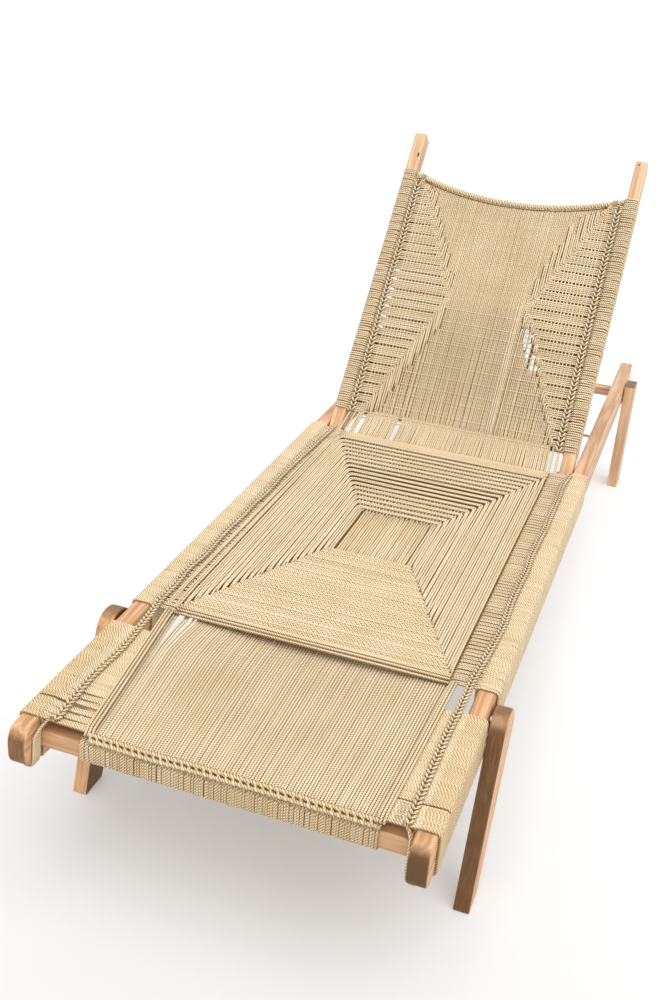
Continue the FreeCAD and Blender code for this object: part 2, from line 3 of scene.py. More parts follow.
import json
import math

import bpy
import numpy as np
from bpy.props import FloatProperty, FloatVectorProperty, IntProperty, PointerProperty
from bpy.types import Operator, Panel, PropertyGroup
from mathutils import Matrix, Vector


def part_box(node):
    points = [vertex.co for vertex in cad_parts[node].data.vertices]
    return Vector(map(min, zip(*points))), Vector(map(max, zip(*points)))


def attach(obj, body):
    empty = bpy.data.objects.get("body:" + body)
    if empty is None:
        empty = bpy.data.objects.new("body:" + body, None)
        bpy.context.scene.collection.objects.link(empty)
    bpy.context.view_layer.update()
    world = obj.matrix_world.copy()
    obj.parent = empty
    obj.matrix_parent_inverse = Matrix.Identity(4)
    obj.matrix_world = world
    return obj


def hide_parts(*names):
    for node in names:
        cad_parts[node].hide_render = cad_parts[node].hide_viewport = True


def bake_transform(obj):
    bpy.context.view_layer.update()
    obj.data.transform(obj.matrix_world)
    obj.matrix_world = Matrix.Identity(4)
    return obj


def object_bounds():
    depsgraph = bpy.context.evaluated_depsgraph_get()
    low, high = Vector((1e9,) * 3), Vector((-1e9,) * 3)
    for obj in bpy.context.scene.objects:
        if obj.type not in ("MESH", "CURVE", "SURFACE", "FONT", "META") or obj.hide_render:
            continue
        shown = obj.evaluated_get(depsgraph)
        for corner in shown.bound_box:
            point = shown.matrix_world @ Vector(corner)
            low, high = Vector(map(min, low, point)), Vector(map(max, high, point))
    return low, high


bl_info = {
    "name": "Woven chaise longue",
    "version": (1, 0, 0),
    "blender": (4, 5, 0),
    "location": "View3D > Sidebar > Chaise",
    "description": "Cord weaves, wood and steel finishes and the stage of a woven chaise longue",
    "category": "Object",
}

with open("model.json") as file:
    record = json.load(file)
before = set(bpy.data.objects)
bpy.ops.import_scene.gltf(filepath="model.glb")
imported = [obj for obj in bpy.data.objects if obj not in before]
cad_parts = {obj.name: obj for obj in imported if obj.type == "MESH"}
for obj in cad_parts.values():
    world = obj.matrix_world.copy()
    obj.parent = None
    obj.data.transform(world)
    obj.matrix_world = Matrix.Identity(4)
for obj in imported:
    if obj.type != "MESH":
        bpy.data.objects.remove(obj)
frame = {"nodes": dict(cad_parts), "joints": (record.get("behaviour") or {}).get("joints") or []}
cad_low, cad_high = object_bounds()

SIDES = {"left": -1, "right": 1}
TAU = 2 * math.pi
ACROSS = np.array((1.0, 0.0, 0.0))
UP = np.array((0.0, 0.0, 1.0))
# Height of the hourglass's waist, as a share of the side fields' height
WAIST_SHARE = 0.515
# Tone that paints a cord in shade, for cords in the shade of others and for thin dark cords that show as
# holes and slits
SHADED_TONE = 14.0
# Turns of cord in a close group round a rail, and the gap after a group
CLOSE_GROUPS = (10, 30)
CLOSE_GAP = 0.0004
# Lengthwise cords in a close group of the back
WARP_GROUPS = (9, 18)
# How far cords stray from their lines, in metres, by how they are held
TIGHT = 0.0002
FIRM = 0.0003
LOOSE = 0.0004
SLACK = 0.0006
# Where the turns beside the foot panel part, from their front end, and how far
FOOT_PARTING_AT = 0.045
FOOT_PARTING = 0.003
# How much wider the hourglass is on the right, below its waist
RIGHT_EXTRA = 0.014
# The strip beside the hourglass's right edge that can be seen through: its width, and its two ends
LADDER_WIDTH = 0.034
LADDER_ENDS = (0.205, 0.305)


# Settings that a user would change

class CordSettings(PropertyGroup):
    """Sizes and colours of the paper cord and its weaves."""

    thickness: FloatProperty(
        name="Cord thickness", description="Diameter of the cord wound round the wood",
        default=0.0046, unit="LENGTH", precision=4)
    field_thickness: FloatProperty(
        name="Field cord thickness", description="Diameter of the cord pressed into the woven fields",
        default=0.0043, unit="LENGTH", precision=4)
    plies: IntProperty(name="Plies", description="Plies that are twisted into the cord", default=3)
    twist: FloatProperty(
        name="Twist", description="Length of cord in which its plies go round once",
        default=0.014, unit="LENGTH", precision=4)
    chain_step: FloatProperty(
        name="Chain step", description="Length of one stitch of the chains along the rails",
        default=0.0094, unit="LENGTH", precision=4)
    weave_step: FloatProperty(
        name="Weave step", description="Distance from cord to cord in the plain weaves",
        default=0.0047, unit="LENGTH", precision=4)
    foot_thickness: FloatProperty(
        name="Foot cord thickness", description="Diameter of the slacker cord of the foot panel",
        default=0.0043, unit="LENGTH", precision=4)
    seat_rows: IntProperty(
        name="Seat rows", description="Double rows across the back field of the seat", default=17)
    foot_cords: IntProperty(
        name="Foot cords", description="Lengthwise cords of the foot panel", default=100)
    light: FloatVectorProperty(
        name="Straw", description="Colour of the cord where it stands proud", subtype="COLOR",
        default=(1.0, 0.862, 0.622))
    # Painted shade in the grooves between the plies; the cord's random deeper tone also leans to this colour
    deep: FloatVectorProperty(
        name="Deep straw", description="Colour of the cord between its plies", subtype="COLOR",
        default=(0.48, 0.295, 0.105))
    # Painted shade: the colour of the crevices between cords, of cords in the shaded tone and of the under
    # layers' shaded sides
    under: FloatVectorProperty(
        name="Under layer", description="Colour of the shaded cords below the seat's top layer",
        subtype="COLOR", default=(0.215, 0.122, 0.032))


class WoodSettings(PropertyGroup):
    """Colours of the oiled wood."""

    pale: FloatVectorProperty(
        name="Pale wood", description="Colour between the grain lines", subtype="COLOR",
        default=(0.80, 0.485, 0.26))
    grain: FloatVectorProperty(
        name="Grain", description="Colour of the grain lines", subtype="COLOR",
        default=(0.45, 0.215, 0.088))
    end_grain: FloatVectorProperty(
        name="End grain", description="Colour of the sawn ends", subtype="COLOR",
        default=(0.10, 0.05, 0.032))
    # Brown is partly darker wood and partly painted shade on faces that the light misses
    brown: FloatVectorProperty(
        name="Brown", description="Colour of weathered faces", subtype="COLOR",
        default=(0.118, 0.053, 0.014))
    # The wood is drawn paler towards the head end
    head_tint: FloatVectorProperty(
        name="Fading", description="What the colour is multiplied by at the head end",
        default=(1.05, 1.2, 1.45))
    back_angle: FloatProperty(
        name="Back angle", description="Slope of the uprights at rest",
        default=math.radians(48.55), subtype="ANGLE")


class StageSettings(PropertyGroup):
    """Floor, light and camera."""

    floor: FloatVectorProperty(
        name="Floor", description="Colour of the floor", subtype="COLOR", default=(0.62, 0.615, 0.615))
    # Painted light: the floor glows, which lifts the shadows on it
    glow: FloatProperty(name="Glow", description="Light that the floor itself gives off", default=0.28)
    sky: FloatProperty(name="Sky", description="Strength of the light from all round", default=0.82)
    key: FloatProperty(name="Key light", description="Strength of the soft light from above", default=2.0)
    camera_at: FloatVectorProperty(
        name="Camera", description="Place of the camera", subtype="TRANSLATION",
        default=(0.49981, -2.07441, 1.31873))
    yaw: FloatProperty(
        name="Yaw", description="Turn of the camera to the left",
        default=math.radians(17.96), subtype="ANGLE")
    pitch: FloatProperty(
        name="Pitch", description="Tilt of the camera", default=math.radians(-26.81), subtype="ANGLE")
    roll: FloatProperty(
        name="Roll", description="Roll of the camera", default=math.radians(4.18), subtype="ANGLE")
    lens: FloatProperty(name="Lens", description="Focal length", default=43.07, unit="CAMERA")


# Places in the frame

def corners(node):
    """Lowest and highest corner of a node."""
    low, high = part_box(node)
    return np.array(low), np.array(high)


def hinge_place():
    """The point that the backrest turns about."""
    joint = next(j for j in frame["joints"] if j["child"] == "backrest")
    return np.array(joint["pos_m"])


def back_axes():
    """Directions along the uprights and out of the back's face."""
    angle = bpy.context.scene.chaise_wood.back_angle
    along = np.array((0, math.cos(angle), math.sin(angle)))
    out = np.array((0, -math.sin(angle), math.cos(angle)))
    return along, out


def from_back(points):
    """Turns points across, along and out of the back into points of the frame."""
    points = np.asarray(points, float)
    along, out = back_axes()
    placed = hinge_place() + points[..., 1:2] * along + points[..., 2:3] * out
    placed[..., 0] = points[..., 0]
    return placed


def in_frame(points):
    """Points that are already in the frame."""
    return points


def back_corners(node):
    """Lowest and highest corner of a node, measured across, along and out of the back."""
    spots = np.array([v.co for v in frame["nodes"][node].data.vertices])
    along, out = back_axes()
    from_hinge = spots - hinge_place()
    local = trace(spots[:, 0], from_hinge @ along, from_hinge @ out)
    return local.min(0), local.max(0)


def back_outline():
    """Half width of the hourglass, height of the top rope, and height of the waist, along the back."""
    low, high = back_corners("back_centre_field")
    side_low, side_high = back_corners("right_back_side_field")
    rope_low, rope_high = back_corners("top_rope")
    waist, wide = side_low[0], high[0]
    waist_at = low[1] + WAIST_SHARE * (side_high[1] - low[1])
    rope = (rope_high[2] - rope_low[2]) / 2
    rise = rope_high[1] - rope_low[1] - 2 * rope
    half = rope_high[0]
    arc = (half ** 2 + rise ** 2) / (2 * rise)

    def half_width(a, sign):
        extra = RIGHT_EXTRA * np.clip((waist_at - a) / (2 * RIGHT_EXTRA), 0, 1) * (sign > 0)
        lower = waist + (wide - waist) * (waist_at - a) / (waist_at - low[1]) + extra
        upper = waist + (wide - waist) * (a - waist_at) / (high[1] - waist_at)
        return np.where(a < waist_at, lower, upper)

    def rope_height(x):
        return rope_low[1] + rope + arc - np.sqrt(arc ** 2 - np.minimum(np.abs(x), half) ** 2)

    return half_width, rope_height, waist_at


def in_ladder(x, a):
    """Tells where places across and along the back lie in the strip that can be seen through."""
    half_width, _, _ = back_outline()
    inset = half_width(a, 1) - x
    return (a > LADDER_ENDS[0]) & (a < LADDER_ENDS[1]) & (inset > 0) & (inset < LADDER_WIDTH)


def foot_turns(side):
    """Places along a rail of its turns of cord beside the foot panel."""
    cord = bpy.context.scene.chaise_cord.thickness
    dice = np.random.default_rng(31 + SIDES[side])
    low, high = corners(f"{side}_foot_wrap")
    parting = low[1] + FOOT_PARTING_AT
    front = turns(low[1], parting, cord, CLOSE_GROUPS, CLOSE_GAP, dice)
    back = turns(parting + FOOT_PARTING, high[1], cord, CLOSE_GROUPS, CLOSE_GAP, dice)
    return np.concatenate((front, back))


def back_warps():
    """Places across the back of its lengthwise cords."""
    low, high = back_corners("back_centre_field")
    step = bpy.context.scene.chaise_cord.weave_step
    return turns(low[0], high[0], step, WARP_GROUPS, CLOSE_GAP, np.random.default_rng(28))


# Cords

class Cords:
    """Gathers cords as round tubes and makes one mesh of them, with each cord's lay as its UV map.

    place turns the points of a cord into points of the frame; facing is as in add, for cords that name none.
    """

    def __init__(self, dice, place=in_frame, facing=UP, sides=6):
        self.dice = dice
        self.place = place
        self.facing = facing
        self.sides = sides
        self.spots = []
        self.quads = []
        self.quad_lay = []
        self.caps = []
        self.cap_lay = []
        self.tones = []
        self.proud = []
        self.count = 0
        self.twists = np.random.default_rng(29)

    def lay(self, line, radius, tone=0.0, **more):
        """Adds one cord of about the given tone along a line of points."""
        self.add(line, radius, self.dice.normal() + tone, **more)

    def add(self, line, radius, tone, facing=None, closed=False, out=None):
        """Adds one cord of just the given tone along a line of points.

        facing is any direction that the line never takes; out is the side that is seen, if it isn't facing.
        """
        facing = self.facing if facing is None else facing
        line = np.asarray(self.place(line), float)
        ahead = np.roll(line, -1, 0) - np.roll(line, 1, 0)
        if not closed:
            ahead[0] = line[1] - line[0]
            ahead[-1] = line[-1] - line[-2]
        ahead /= np.linalg.norm(ahead, axis=1)[:, None]
        side = np.cross(ahead, facing)
        side /= np.linalg.norm(side, axis=1)[:, None]
        up = np.cross(side, ahead)
        turn = (np.arange(self.sides) + (0.0 if out is None else 0.5)) * TAU / self.sides
        ring = np.cos(turn)[:, None] * side[:, None] + np.sin(turn)[:, None] * up[:, None]
        spots = line[:, None] + np.reshape(radius, (-1, 1, 1)) * ring
        seen = np.broadcast_to(np.asarray(facing if out is None else out, float), line.shape)
        self.proud.append(np.einsum("ijk,ik->ij", ring, seen).ravel())
        steps = np.linalg.norm(np.diff(np.vstack((line, line[:1])), axis=0), axis=1)
        run = np.concatenate(([0.0], np.cumsum(steps))) + self.twists.uniform()
        rings = len(line)
        first = np.arange(rings if closed else rings - 1)
        around = np.arange(self.sides)
        i, k = [grid.ravel() for grid in np.meshgrid(first, around, indexing="ij")]
        after = (i + 1) % rings
        beside = (k + 1) % self.sides
        quads = np.stack((i * self.sides + k, after * self.sides + k,
                          after * self.sides + beside, i * self.sides + beside), axis=1)
        near = np.stack((run[i], k / self.sides), axis=1)
        far = np.stack((run[i + 1], k / self.sides), axis=1)
        step = np.array((0.0, 1 / self.sides))
        self.spots.append(spots.reshape(-1, 3))
        self.quads.append(quads + self.count)
        self.quad_lay.append(np.stack((near, far, far + step, near + step), axis=1))
        if not closed:
            last = (rings - 1) * self.sides
            self.caps.append(around + self.count)
            self.caps.append(around[::-1] + last + self.count)
            for place in (run[0], run[rings - 1]):
                self.cap_lay.append(np.full((self.sides, 2), (place, 0.5)))
        self.tones.append(np.full(rings * self.sides, tone))
        self.count += rings * self.sides

    def piece(self, name, body, replaced=(), finish=None):
        """Makes the object, in straw-coloured cord or another finish.

        It rides on a body, if one is named, and stands for the replaced nodes.
        """
        spots = np.concatenate(self.spots)
        quads = np.concatenate(self.quads)
        loops = quads.ravel()
        lay = np.concatenate(self.quad_lay).reshape(-1, 2)
        starts = np.arange(len(quads)) * 4
        if self.caps:
            caps = np.array(self.caps)
            starts = np.concatenate((starts, len(loops) + np.arange(len(caps)) * self.sides))
            loops = np.concatenate((loops, caps.ravel()))
            lay = np.concatenate((lay, np.array(self.cap_lay).reshape(-1, 2)))
        mesh = bpy.data.meshes.new(name)
        mesh.vertices.add(len(spots))
        mesh.vertices.foreach_set("co", spots.ravel())
        mesh.loops.add(len(loops))
        mesh.loops.foreach_set("vertex_index", loops.astype(np.int32))
        mesh.polygons.add(len(starts))
        mesh.polygons.foreach_set("loop_start", starts.astype(np.int32))
        mesh.polygons.foreach_set("use_smooth", np.arange(len(starts)) < len(quads))
        mesh.update(calc_edges=True)
        mesh.uv_layers.new(name="lay").data.foreach_set("uv", lay.ravel())
        tones = mesh.attributes.new("tone", "FLOAT", "POINT")
        tones.data.foreach_set("value", np.concatenate(self.tones))
        proud = mesh.attributes.new("proud", "FLOAT", "POINT")
        proud.data.foreach_set("value", np.concatenate(self.proud))
        mesh.materials.append(finish or cord_material())
        piece = bpy.data.objects.new(name, mesh)
        bpy.context.scene.collection.objects.link(piece)
        if body:
            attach(piece, body)
        if replaced:
            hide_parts(*replaced)
        return piece


def trace(across, along, height):
    """A line of points from their three coordinates, each one value for all or one for every point."""
    return np.stack(np.broadcast_arrays(across, along, height), axis=1)


def wander(count, size, dice, knots=5):
    """A slow random drift of about the given size, at count places along a cord."""
    return np.interp(np.linspace(0, knots - 1, count), np.arange(knots), dice.normal(0, size, knots))


def turns(start, end, cord, groups, gap, dice):
    """Places of cords laid side by side from start to end, in small groups with a gap after each."""
    places = []
    at = 0.0
    while at < end - start - cord:
        for _ in range(dice.integers(groups[0], groups[1], endpoint=True)):
            places.append(at)
            at += cord
        at += gap * dice.uniform(0.4, 1.6)
    places = np.array(places)
    return start + cord / 2 + places * (end - start - cord) / places[-1]


def rounded_outline(half_width, half_height, corner, steps=4):
    """Points round a rectangle with round corners, about its middle, and the way out at each."""
    turn = np.concatenate([np.linspace(quarter, quarter + 1, steps) for quarter in range(4)]) * TAU / 4
    corners_at = np.repeat([(1, 1), (-1, 1), (-1, -1), (1, -1)], steps, axis=0)
    outward = np.stack((np.cos(turn), np.sin(turn)), axis=1)
    return corners_at * (half_width - corner, half_height - corner) + corner * outward, outward


def wind(cords, low, high, cord, places, tone=0.0):
    """Winds cord at places along a bar that fills the box low to high along its second direction."""
    # How far a turn leans along the bar and shifts on it, in cords
    slant, shift = 0.1, 0.03
    half = (high - low) / 2 - cord / 2
    middle = (high + low) / 2
    outline, outward = rounded_outline(half[0], half[2], 1.4 * cord)
    beside = np.insert(outward, 1, 0.0, axis=1)
    for at in places:
        lean = cords.dice.normal(0, slant) * cord * outline[:, 0] / half[0]
        loop = trace(middle[0] + outline[:, 0], at + lean, middle[2] + outline[:, 1])
        loop += np.array((1, 0, 1)) * cords.dice.normal(0, shift) * cord
        out = cords.place(loop + beside) - cords.place(loop)
        cords.lay(loop, cord / 2, tone, closed=True, out=out)


def even_route(line, spacing):
    """Points at even distances along a line, and how far along it each lies."""
    steps = np.linalg.norm(np.diff(line, axis=0), axis=1)
    run = np.concatenate(([0.0], np.cumsum(steps)))
    even = np.linspace(0, run[-1], max(8, int(run[-1] / spacing)))
    return np.stack([np.interp(even, run, line[:, axis]) for axis in range(3)], axis=1), even


def stitches(cords, line, across, cord, step, tone):
    """Two rows of stitches along a line, joined by a bar in each step, over a shaded cord."""
    per_step = 6
    up = cords.facing
    apart = 0.66 * cord * across
    route, even = even_route(line, step / per_step)
    for row in SIDES.values():
        swell = np.sin(TAU * even / step + row)
        centre = route + row * apart + 0.09 * cord * swell[:, None] * up
        cords.lay(centre, 0.56 * cord * (1 + 0.14 * swell), tone)
    # A thin cord in painted shade shows as dark holes between the rows
    cords.add(route - 0.36 * cord * up, 0.4 * cord, SHADED_TONE)
    for i in range(0, len(route) - per_step // 2, per_step):
        bar = route[[i, i + 1, i + per_step // 2]] + 0.25 * cord * up
        bar += np.array((1, 0, -1))[:, None] * apart
        cords.lay(bar, 0.36 * cord, tone)


def chain(cords, line, cord, step, reach, tone):
    """Pairs of slanted stitches along a line, which meet in a point, over a shaded cord."""
    per_step = 4
    up = cords.facing
    route, _ = even_route(line, step / per_step)
    # Each stitch at its outer end, its middle and its point: place across, height and radius
    slant = np.array((1.0, 0.75, 0.08))[:, None] * reach * ACROSS
    level = np.array((-0.1, 0.3, 0.2))[:, None] * cord * up
    swell = cord * np.array((0.42, 0.56, 0.36))
    for i in range(0, len(route) - per_step, per_step):
        for row in SIDES.values():
            stitch = route[[i + per_step, i + per_step // 2, i]] + row * slant + level
            cords.lay(stitch, swell, tone)
    # A cord in painted shade under the line shows as dark holes between the stitches
    cords.add(line - 0.3 * cord * up, 0.5 * cord, SHADED_TONE)


def twine(cords, line, cord, lay, strands, across):
    """Twists cords round each other along a line."""
    per_lay = 8
    reach = 1.15 * cord / 2
    route, even = even_route(line, lay / per_lay)
    for strand in range(strands):
        phase = TAU * (even / lay + strand / strands)
        offset = np.cos(phase)[:, None] * across + np.sin(phase)[:, None] * cords.facing
        cords.lay(route + reach * offset, cord / 2)


def smooth(values, width=13):
    """A running mean, with the ends held."""
    return np.convolve(np.pad(values, width // 2, mode="edge"), np.ones(width) / width, mode="valid")


def elbow(before, corner, after, steps=5):
    """Points of a round turn from before to after, drawn towards the corner."""
    share = np.linspace(0, 1, steps)[:, None]
    before, corner, after = (np.asarray(point, float) for point in (before, corner, after))
    return before * (1 - share) ** 2 + corner * 2 * share * (1 - share) + after * share ** 2


def runs(held):
    """Unbroken runs of at least three held places."""
    edges = np.flatnonzero(np.diff(np.concatenate(([0], held.astype(int), [0]))))
    return [np.arange(a, b) for a, b in zip(edges[::2], edges[1::2]) if b - a >= 3]


# Finishes

def add_node(tree, kind, inputs=None, **settings):
    """Adds a node, sets it and joins or fills its inputs."""
    made = tree.nodes.new(kind)
    for key, value in settings.items():
        setattr(made, key, value)
    for key, value in (inputs or {}).items():
        if isinstance(value, bpy.types.NodeSocket):
            tree.links.new(value, made.inputs[key])
        else:
            made.inputs[key].default_value = value
    return made


def add_math(tree, operation, first, second=0.0, third=0.0):
    """The result of a calculation with one, two or three values."""
    return add_node(tree, "ShaderNodeMath", {0: first, 1: second, 2: third}, operation=operation).outputs[0]


def add_mix(tree, factor, first, second, **settings):
    """A blend of two colours."""
    colours = [c if isinstance(c, bpy.types.NodeSocket) else (*c, 1.0) for c in (first, second)]
    inputs = {0: factor, 6: colours[0], 7: colours[1]}
    return add_node(tree, "ShaderNodeMix", inputs, data_type="RGBA", **settings).outputs[2]


def add_range(tree, value, low, high, first=0.0, last=1.0, **settings):
    """A value that goes from first to last while another goes from low to high."""
    inputs = {0: value, 1: low, 2: high, 3: first, 4: last}
    return add_node(tree, "ShaderNodeMapRange", inputs, **settings).outputs[0]


def add_noise(tree, place, scale=1.0, detail=2.0, distortion=0.0):
    """A cloudy value at a place; a higher scale makes finer clouds."""
    inputs = {"Vector": place, "Scale": scale, "Detail": detail, "Distortion": distortion}
    return add_node(tree, "ShaderNodeTexNoise", inputs).outputs[0]


def add_mapping(tree, vector, turn=(0, 0, 0), scale=(1, 1, 1), **settings):
    """A vector, turned and stretched."""
    inputs = {"Vector": vector, "Rotation": turn, "Scale": scale}
    return add_node(tree, "ShaderNodeMapping", inputs, **settings).outputs[0]


def add_part(tree, vector, axis):
    """One coordinate of a vector."""
    return add_node(tree, "ShaderNodeSeparateXYZ", {0: vector}).outputs[axis]


def add_facing(tree, normal, way):
    """How far a face looks one way."""
    dot = add_node(tree, "ShaderNodeVectorMath", {0: normal, 1: way}, operation="DOT_PRODUCT")
    return dot.outputs["Value"]


def add_attribute(tree, name):
    """A value that the mesh holds at each of its points."""
    return add_node(tree, "ShaderNodeAttribute", attribute_name=name).outputs["Fac"]


def set_surface(tree, shader, colour, relief, strength, depth):
    """Joins a colour and a relief to a shader."""
    tree.links.new(colour, shader.inputs["Base Color"])
    bump = add_node(tree, "ShaderNodeBump", {"Height": relief, "Strength": strength, "Distance": depth})
    tree.links.new(bump.outputs[0], shader.inputs["Normal"])


def new_finish(name, roughness, specular):
    """A material with a shader whose even values are set on its own sockets."""
    finish = bpy.data.materials.new(name)
    finish.use_nodes = True
    tree = finish.node_tree
    shader = tree.nodes["Principled BSDF"]
    shader.inputs["Roughness"].default_value = roughness
    shader.inputs["Specular IOR Level"].default_value = specular
    return finish, tree, shader


def cord_finish(name, shaded_way=None):
    """Twisted paper cord: plies in relief, with painted shade in their grooves, fine fibres and slow changes
    of tone.

    Where a shaded way is given, the side that looks that way is painted in shade, as if under a top layer.
    """
    settings = bpy.context.scene.chaise_cord
    finish, tree, shader = new_finish(name, 0.75, 0.25)
    lay = add_node(tree, "ShaderNodeUVMap", uv_map="lay").outputs[0]
    along = add_math(tree, "MULTIPLY", add_part(tree, lay, 0), settings.plies / settings.twist)
    phase = add_math(tree, "MULTIPLY_ADD", add_part(tree, lay, 1), float(settings.plies), along)
    ply = add_math(tree, "PINGPONG", phase, 0.5)
    ply = add_math(tree, "SMOOTH_MIN", add_math(tree, "MULTIPLY", ply, 2.6), 1.0, 0.3)
    seen = add_node(tree, "ShaderNodeTexCoord")
    fibre = add_noise(tree, seen.outputs["Object"], scale=1100.0)
    patch = add_noise(tree, seen.outputs["Object"], scale=14.0)
    # What deepens the colour: the cord's tone, its fibres and patches, and the grooves between its plies,
    # where shade is painted
    tone = add_attribute(tree, "tone")
    shade = add_math(tree, "MULTIPLY_ADD", tone, 0.05, add_math(tree, "MULTIPLY", fibre, 0.34))
    shade = add_math(tree, "ADD", shade, add_math(tree, "MULTIPLY", patch, 0.34))
    groove_shade = add_math(tree, "SUBTRACT", 1.0, ply)
    depth = add_math(tree, "ADD", groove_shade, add_math(tree, "SUBTRACT", shade, 0.27))
    depth = add_node(tree, "ShaderNodeClamp", {0: depth}).outputs[0]
    # Painted shade: the sides of a cord, where it meets its neighbours, are drawn darker than its face
    proud = add_math(tree, "ABSOLUTE", add_attribute(tree, "proud"))
    crevice_shade = add_range(tree, proud, 0.86, 0.3, interpolation_type="SMOOTHSTEP")
    crevice_shade = add_math(tree, "MULTIPLY", crevice_shade, add_math(tree, "MULTIPLY_ADD", groove_shade, 0.6, 0.24))
    crevice_shade = add_math(tree, "ADD", crevice_shade, add_range(tree, proud, 0.4, 0.0, last=0.38))
    colour = add_mix(tree, crevice_shade, add_mix(tree, depth, settings.light, settings.deep), settings.under)
    # Painted shade: cords of the shaded tone take the under colour
    painted_shade_share = add_range(tree, tone, SHADED_TONE / 2, SHADED_TONE)
    colour = add_mix(tree, painted_shade_share, colour, settings.under)
    # Painted shade on the side that looks the shaded way
    if shaded_way is not None:
        shaded_side = add_range(tree, add_facing(tree, seen.outputs["Normal"], shaded_way), -0.5, 0.2)
        colour = add_mix(tree, shaded_side, colour, settings.under)
    relief = add_math(tree, "MULTIPLY_ADD", fibre, 0.3, ply)
    set_surface(tree, shader, colour, relief, strength=0.9, depth=0.0008)
    return finish


def wood_finish(name, wood, slope, across=False, tint=1.0, browned_way=(0, 0, 0)):
    """Oiled wood with its grain along one direction: a slope in the side plane, or across the object.

    The tint lightens or darkens it; the side that looks along the given way is browned, partly as darker wood
    and partly as painted shade.
    """
    finish, tree, shader = new_finish(name, 0.5, 0.35)
    turn = (0, 0, 0) if across else (-slope, 0, -TAU / 4)
    place = add_node(tree, "ShaderNodeTexCoord")
    aligned = add_mapping(tree, place.outputs["Object"], turn)
    rings = add_mapping(tree, aligned, scale=(2.2, 34.0, 34.0))
    rings = add_noise(tree, rings, detail=5.0, distortion=0.5)
    lines = add_math(tree, "PINGPONG", add_math(tree, "MULTIPLY", rings, 5.0), 0.5)
    pores = add_noise(tree, add_mapping(tree, aligned, scale=(9.0, 420.0, 420.0)), detail=3.0)
    depth = add_math(tree, "MULTIPLY_ADD", lines, 0.9, add_math(tree, "MULTIPLY", pores, 0.7))
    depth = add_range(tree, depth, 0.3, 0.95)
    pale, grain = ([min(1.0, tint * part) for part in shade] for shade in (wood.pale, wood.grain))
    colour = add_mix(tree, depth, pale, grain)
    # Paler towards the head end
    headward = add_part(tree, place.outputs["Object"], 1)
    headward = add_range(tree, headward, cad_low[1] / 2, cad_high[1])
    colour = add_mix(tree, headward, colour, wood.head_tint, blend_type="MULTIPLY")
    # Sawn ends look along the grain, and show it as bands
    facing = add_mapping(tree, place.outputs["Normal"], turn, vector_type="NORMAL")
    sawn = add_math(tree, "ABSOLUTE", add_part(tree, facing, 0))
    sawn = add_range(tree, sawn, 0.62, 0.95, last=0.86)
    bands = add_noise(tree, add_mapping(tree, aligned, scale=(1.0, 330.0, 45.0)), detail=3.0)
    bands = add_range(tree, bands, 0.35, 0.65)
    worn = [2.0 * part for part in wood.brown]
    colour = add_mix(tree, sawn, colour, add_mix(tree, bands, wood.end_grain, worn))
    # Browning of one side: partly darker wood, partly painted shade
    browned = add_range(tree, add_facing(tree, place.outputs["Normal"], browned_way), 0.3, 0.8)
    browned = add_math(tree, "MULTIPLY", browned, add_math(tree, "MULTIPLY_ADD", pores, -0.45, 1.15))
    colour = add_mix(tree, browned, colour, wood.brown)
    set_surface(tree, shader, colour, pores, strength=0.35, depth=0.0004)
    return finish


def steel_finish():
    """Drawn steel with a fine, uneven polish."""
    bright, dull = (0.66, 0.65, 0.63), (0.42, 0.41, 0.40)
    finish, tree, shader = new_finish("drawn_steel", 0.35, 0.5)
    shader.inputs["Metallic"].default_value = 1.0
    place = add_node(tree, "ShaderNodeTexCoord").outputs["Object"]
    marks = add_noise(tree, add_mapping(tree, place, scale=(12.0, 600.0, 600.0)), detail=3.0)
    tree.links.new(add_mix(tree, marks, bright, dull), shader.inputs["Base Color"])
    tree.links.new(add_range(tree, marks, 0.0, 1.0, 0.22, 0.48), shader.inputs["Roughness"])
    return finish


def cord_material():
    """The straw-coloured cord, made once."""
    return bpy.data.materials.get("paper_cord") or cord_finish("paper_cord")


def dress(nodes, finish):
    """Gives frame nodes a finish."""
    for node in nodes:
        mesh = frame["nodes"][node].data
        mesh.materials.clear()
        mesh.materials.append(finish)


def both(name):
    """The left and the right node of a pair."""
    return [f"{side}_{name}" for side in SIDES]


# Operators

class CHAISE_OT_woodwork(Operator):
    """Give the wooden members their grain, each along its own length"""

    bl_idname = "chaise.woodwork"
    bl_label = "Woodwork"

    # Share of a front leg's box along the rail that its lean takes up
    lean_share = 0.4
    rail_tint = 0.92
    cross_tint = 0.86
    # The way that the browned side of each rail and each front leg looks; the browning is partly darker wood
    # and partly painted shade
    browned_way = {"left": ((0, 0, 0), (1, 0, 0)), "right": ((0, -1, 0), (0, -1, 0))}

    def execute(self, context):
        wood = context.scene.chaise_wood
        low, high = corners("left_front_leg")
        leg_slope = math.atan2(high[2] - low[2], self.lean_share * (high[1] - low[1]))
        low, high = corners("left_prop_arm")
        prop_slope = -math.atan2(high[2] - low[2], high[1] - low[1])
        for side, (rail_face, leg_face) in self.browned_way.items():
            finish = wood_finish(f"{side}_rail_wood", wood, 0.0, tint=self.rail_tint, browned_way=rail_face)
            dress([f"{side}_side_rail"], finish)
            finish = wood_finish(f"{side}_front_leg_wood", wood, leg_slope, browned_way=leg_face)
            dress([f"{side}_front_leg"], finish)
        dress(both("rear_leg"), wood_finish("rear_leg_wood", wood, TAU / 4))
        dress(both("upright") + both("rack"), wood_finish("upright_wood", wood, wood.back_angle))
        dress(both("prop_arm"), wood_finish("prop_wood", wood, prop_slope))
        crossing = ["front_cross_rail", "rear_cross_rail", "lower_back_stretcher", "upper_back_stretcher",
                    "prop_stretcher", "prop_bar"]
        dress(crossing, wood_finish("cross_wood", wood, 0.0, across=True, tint=self.cross_tint))
        return {"FINISHED"}


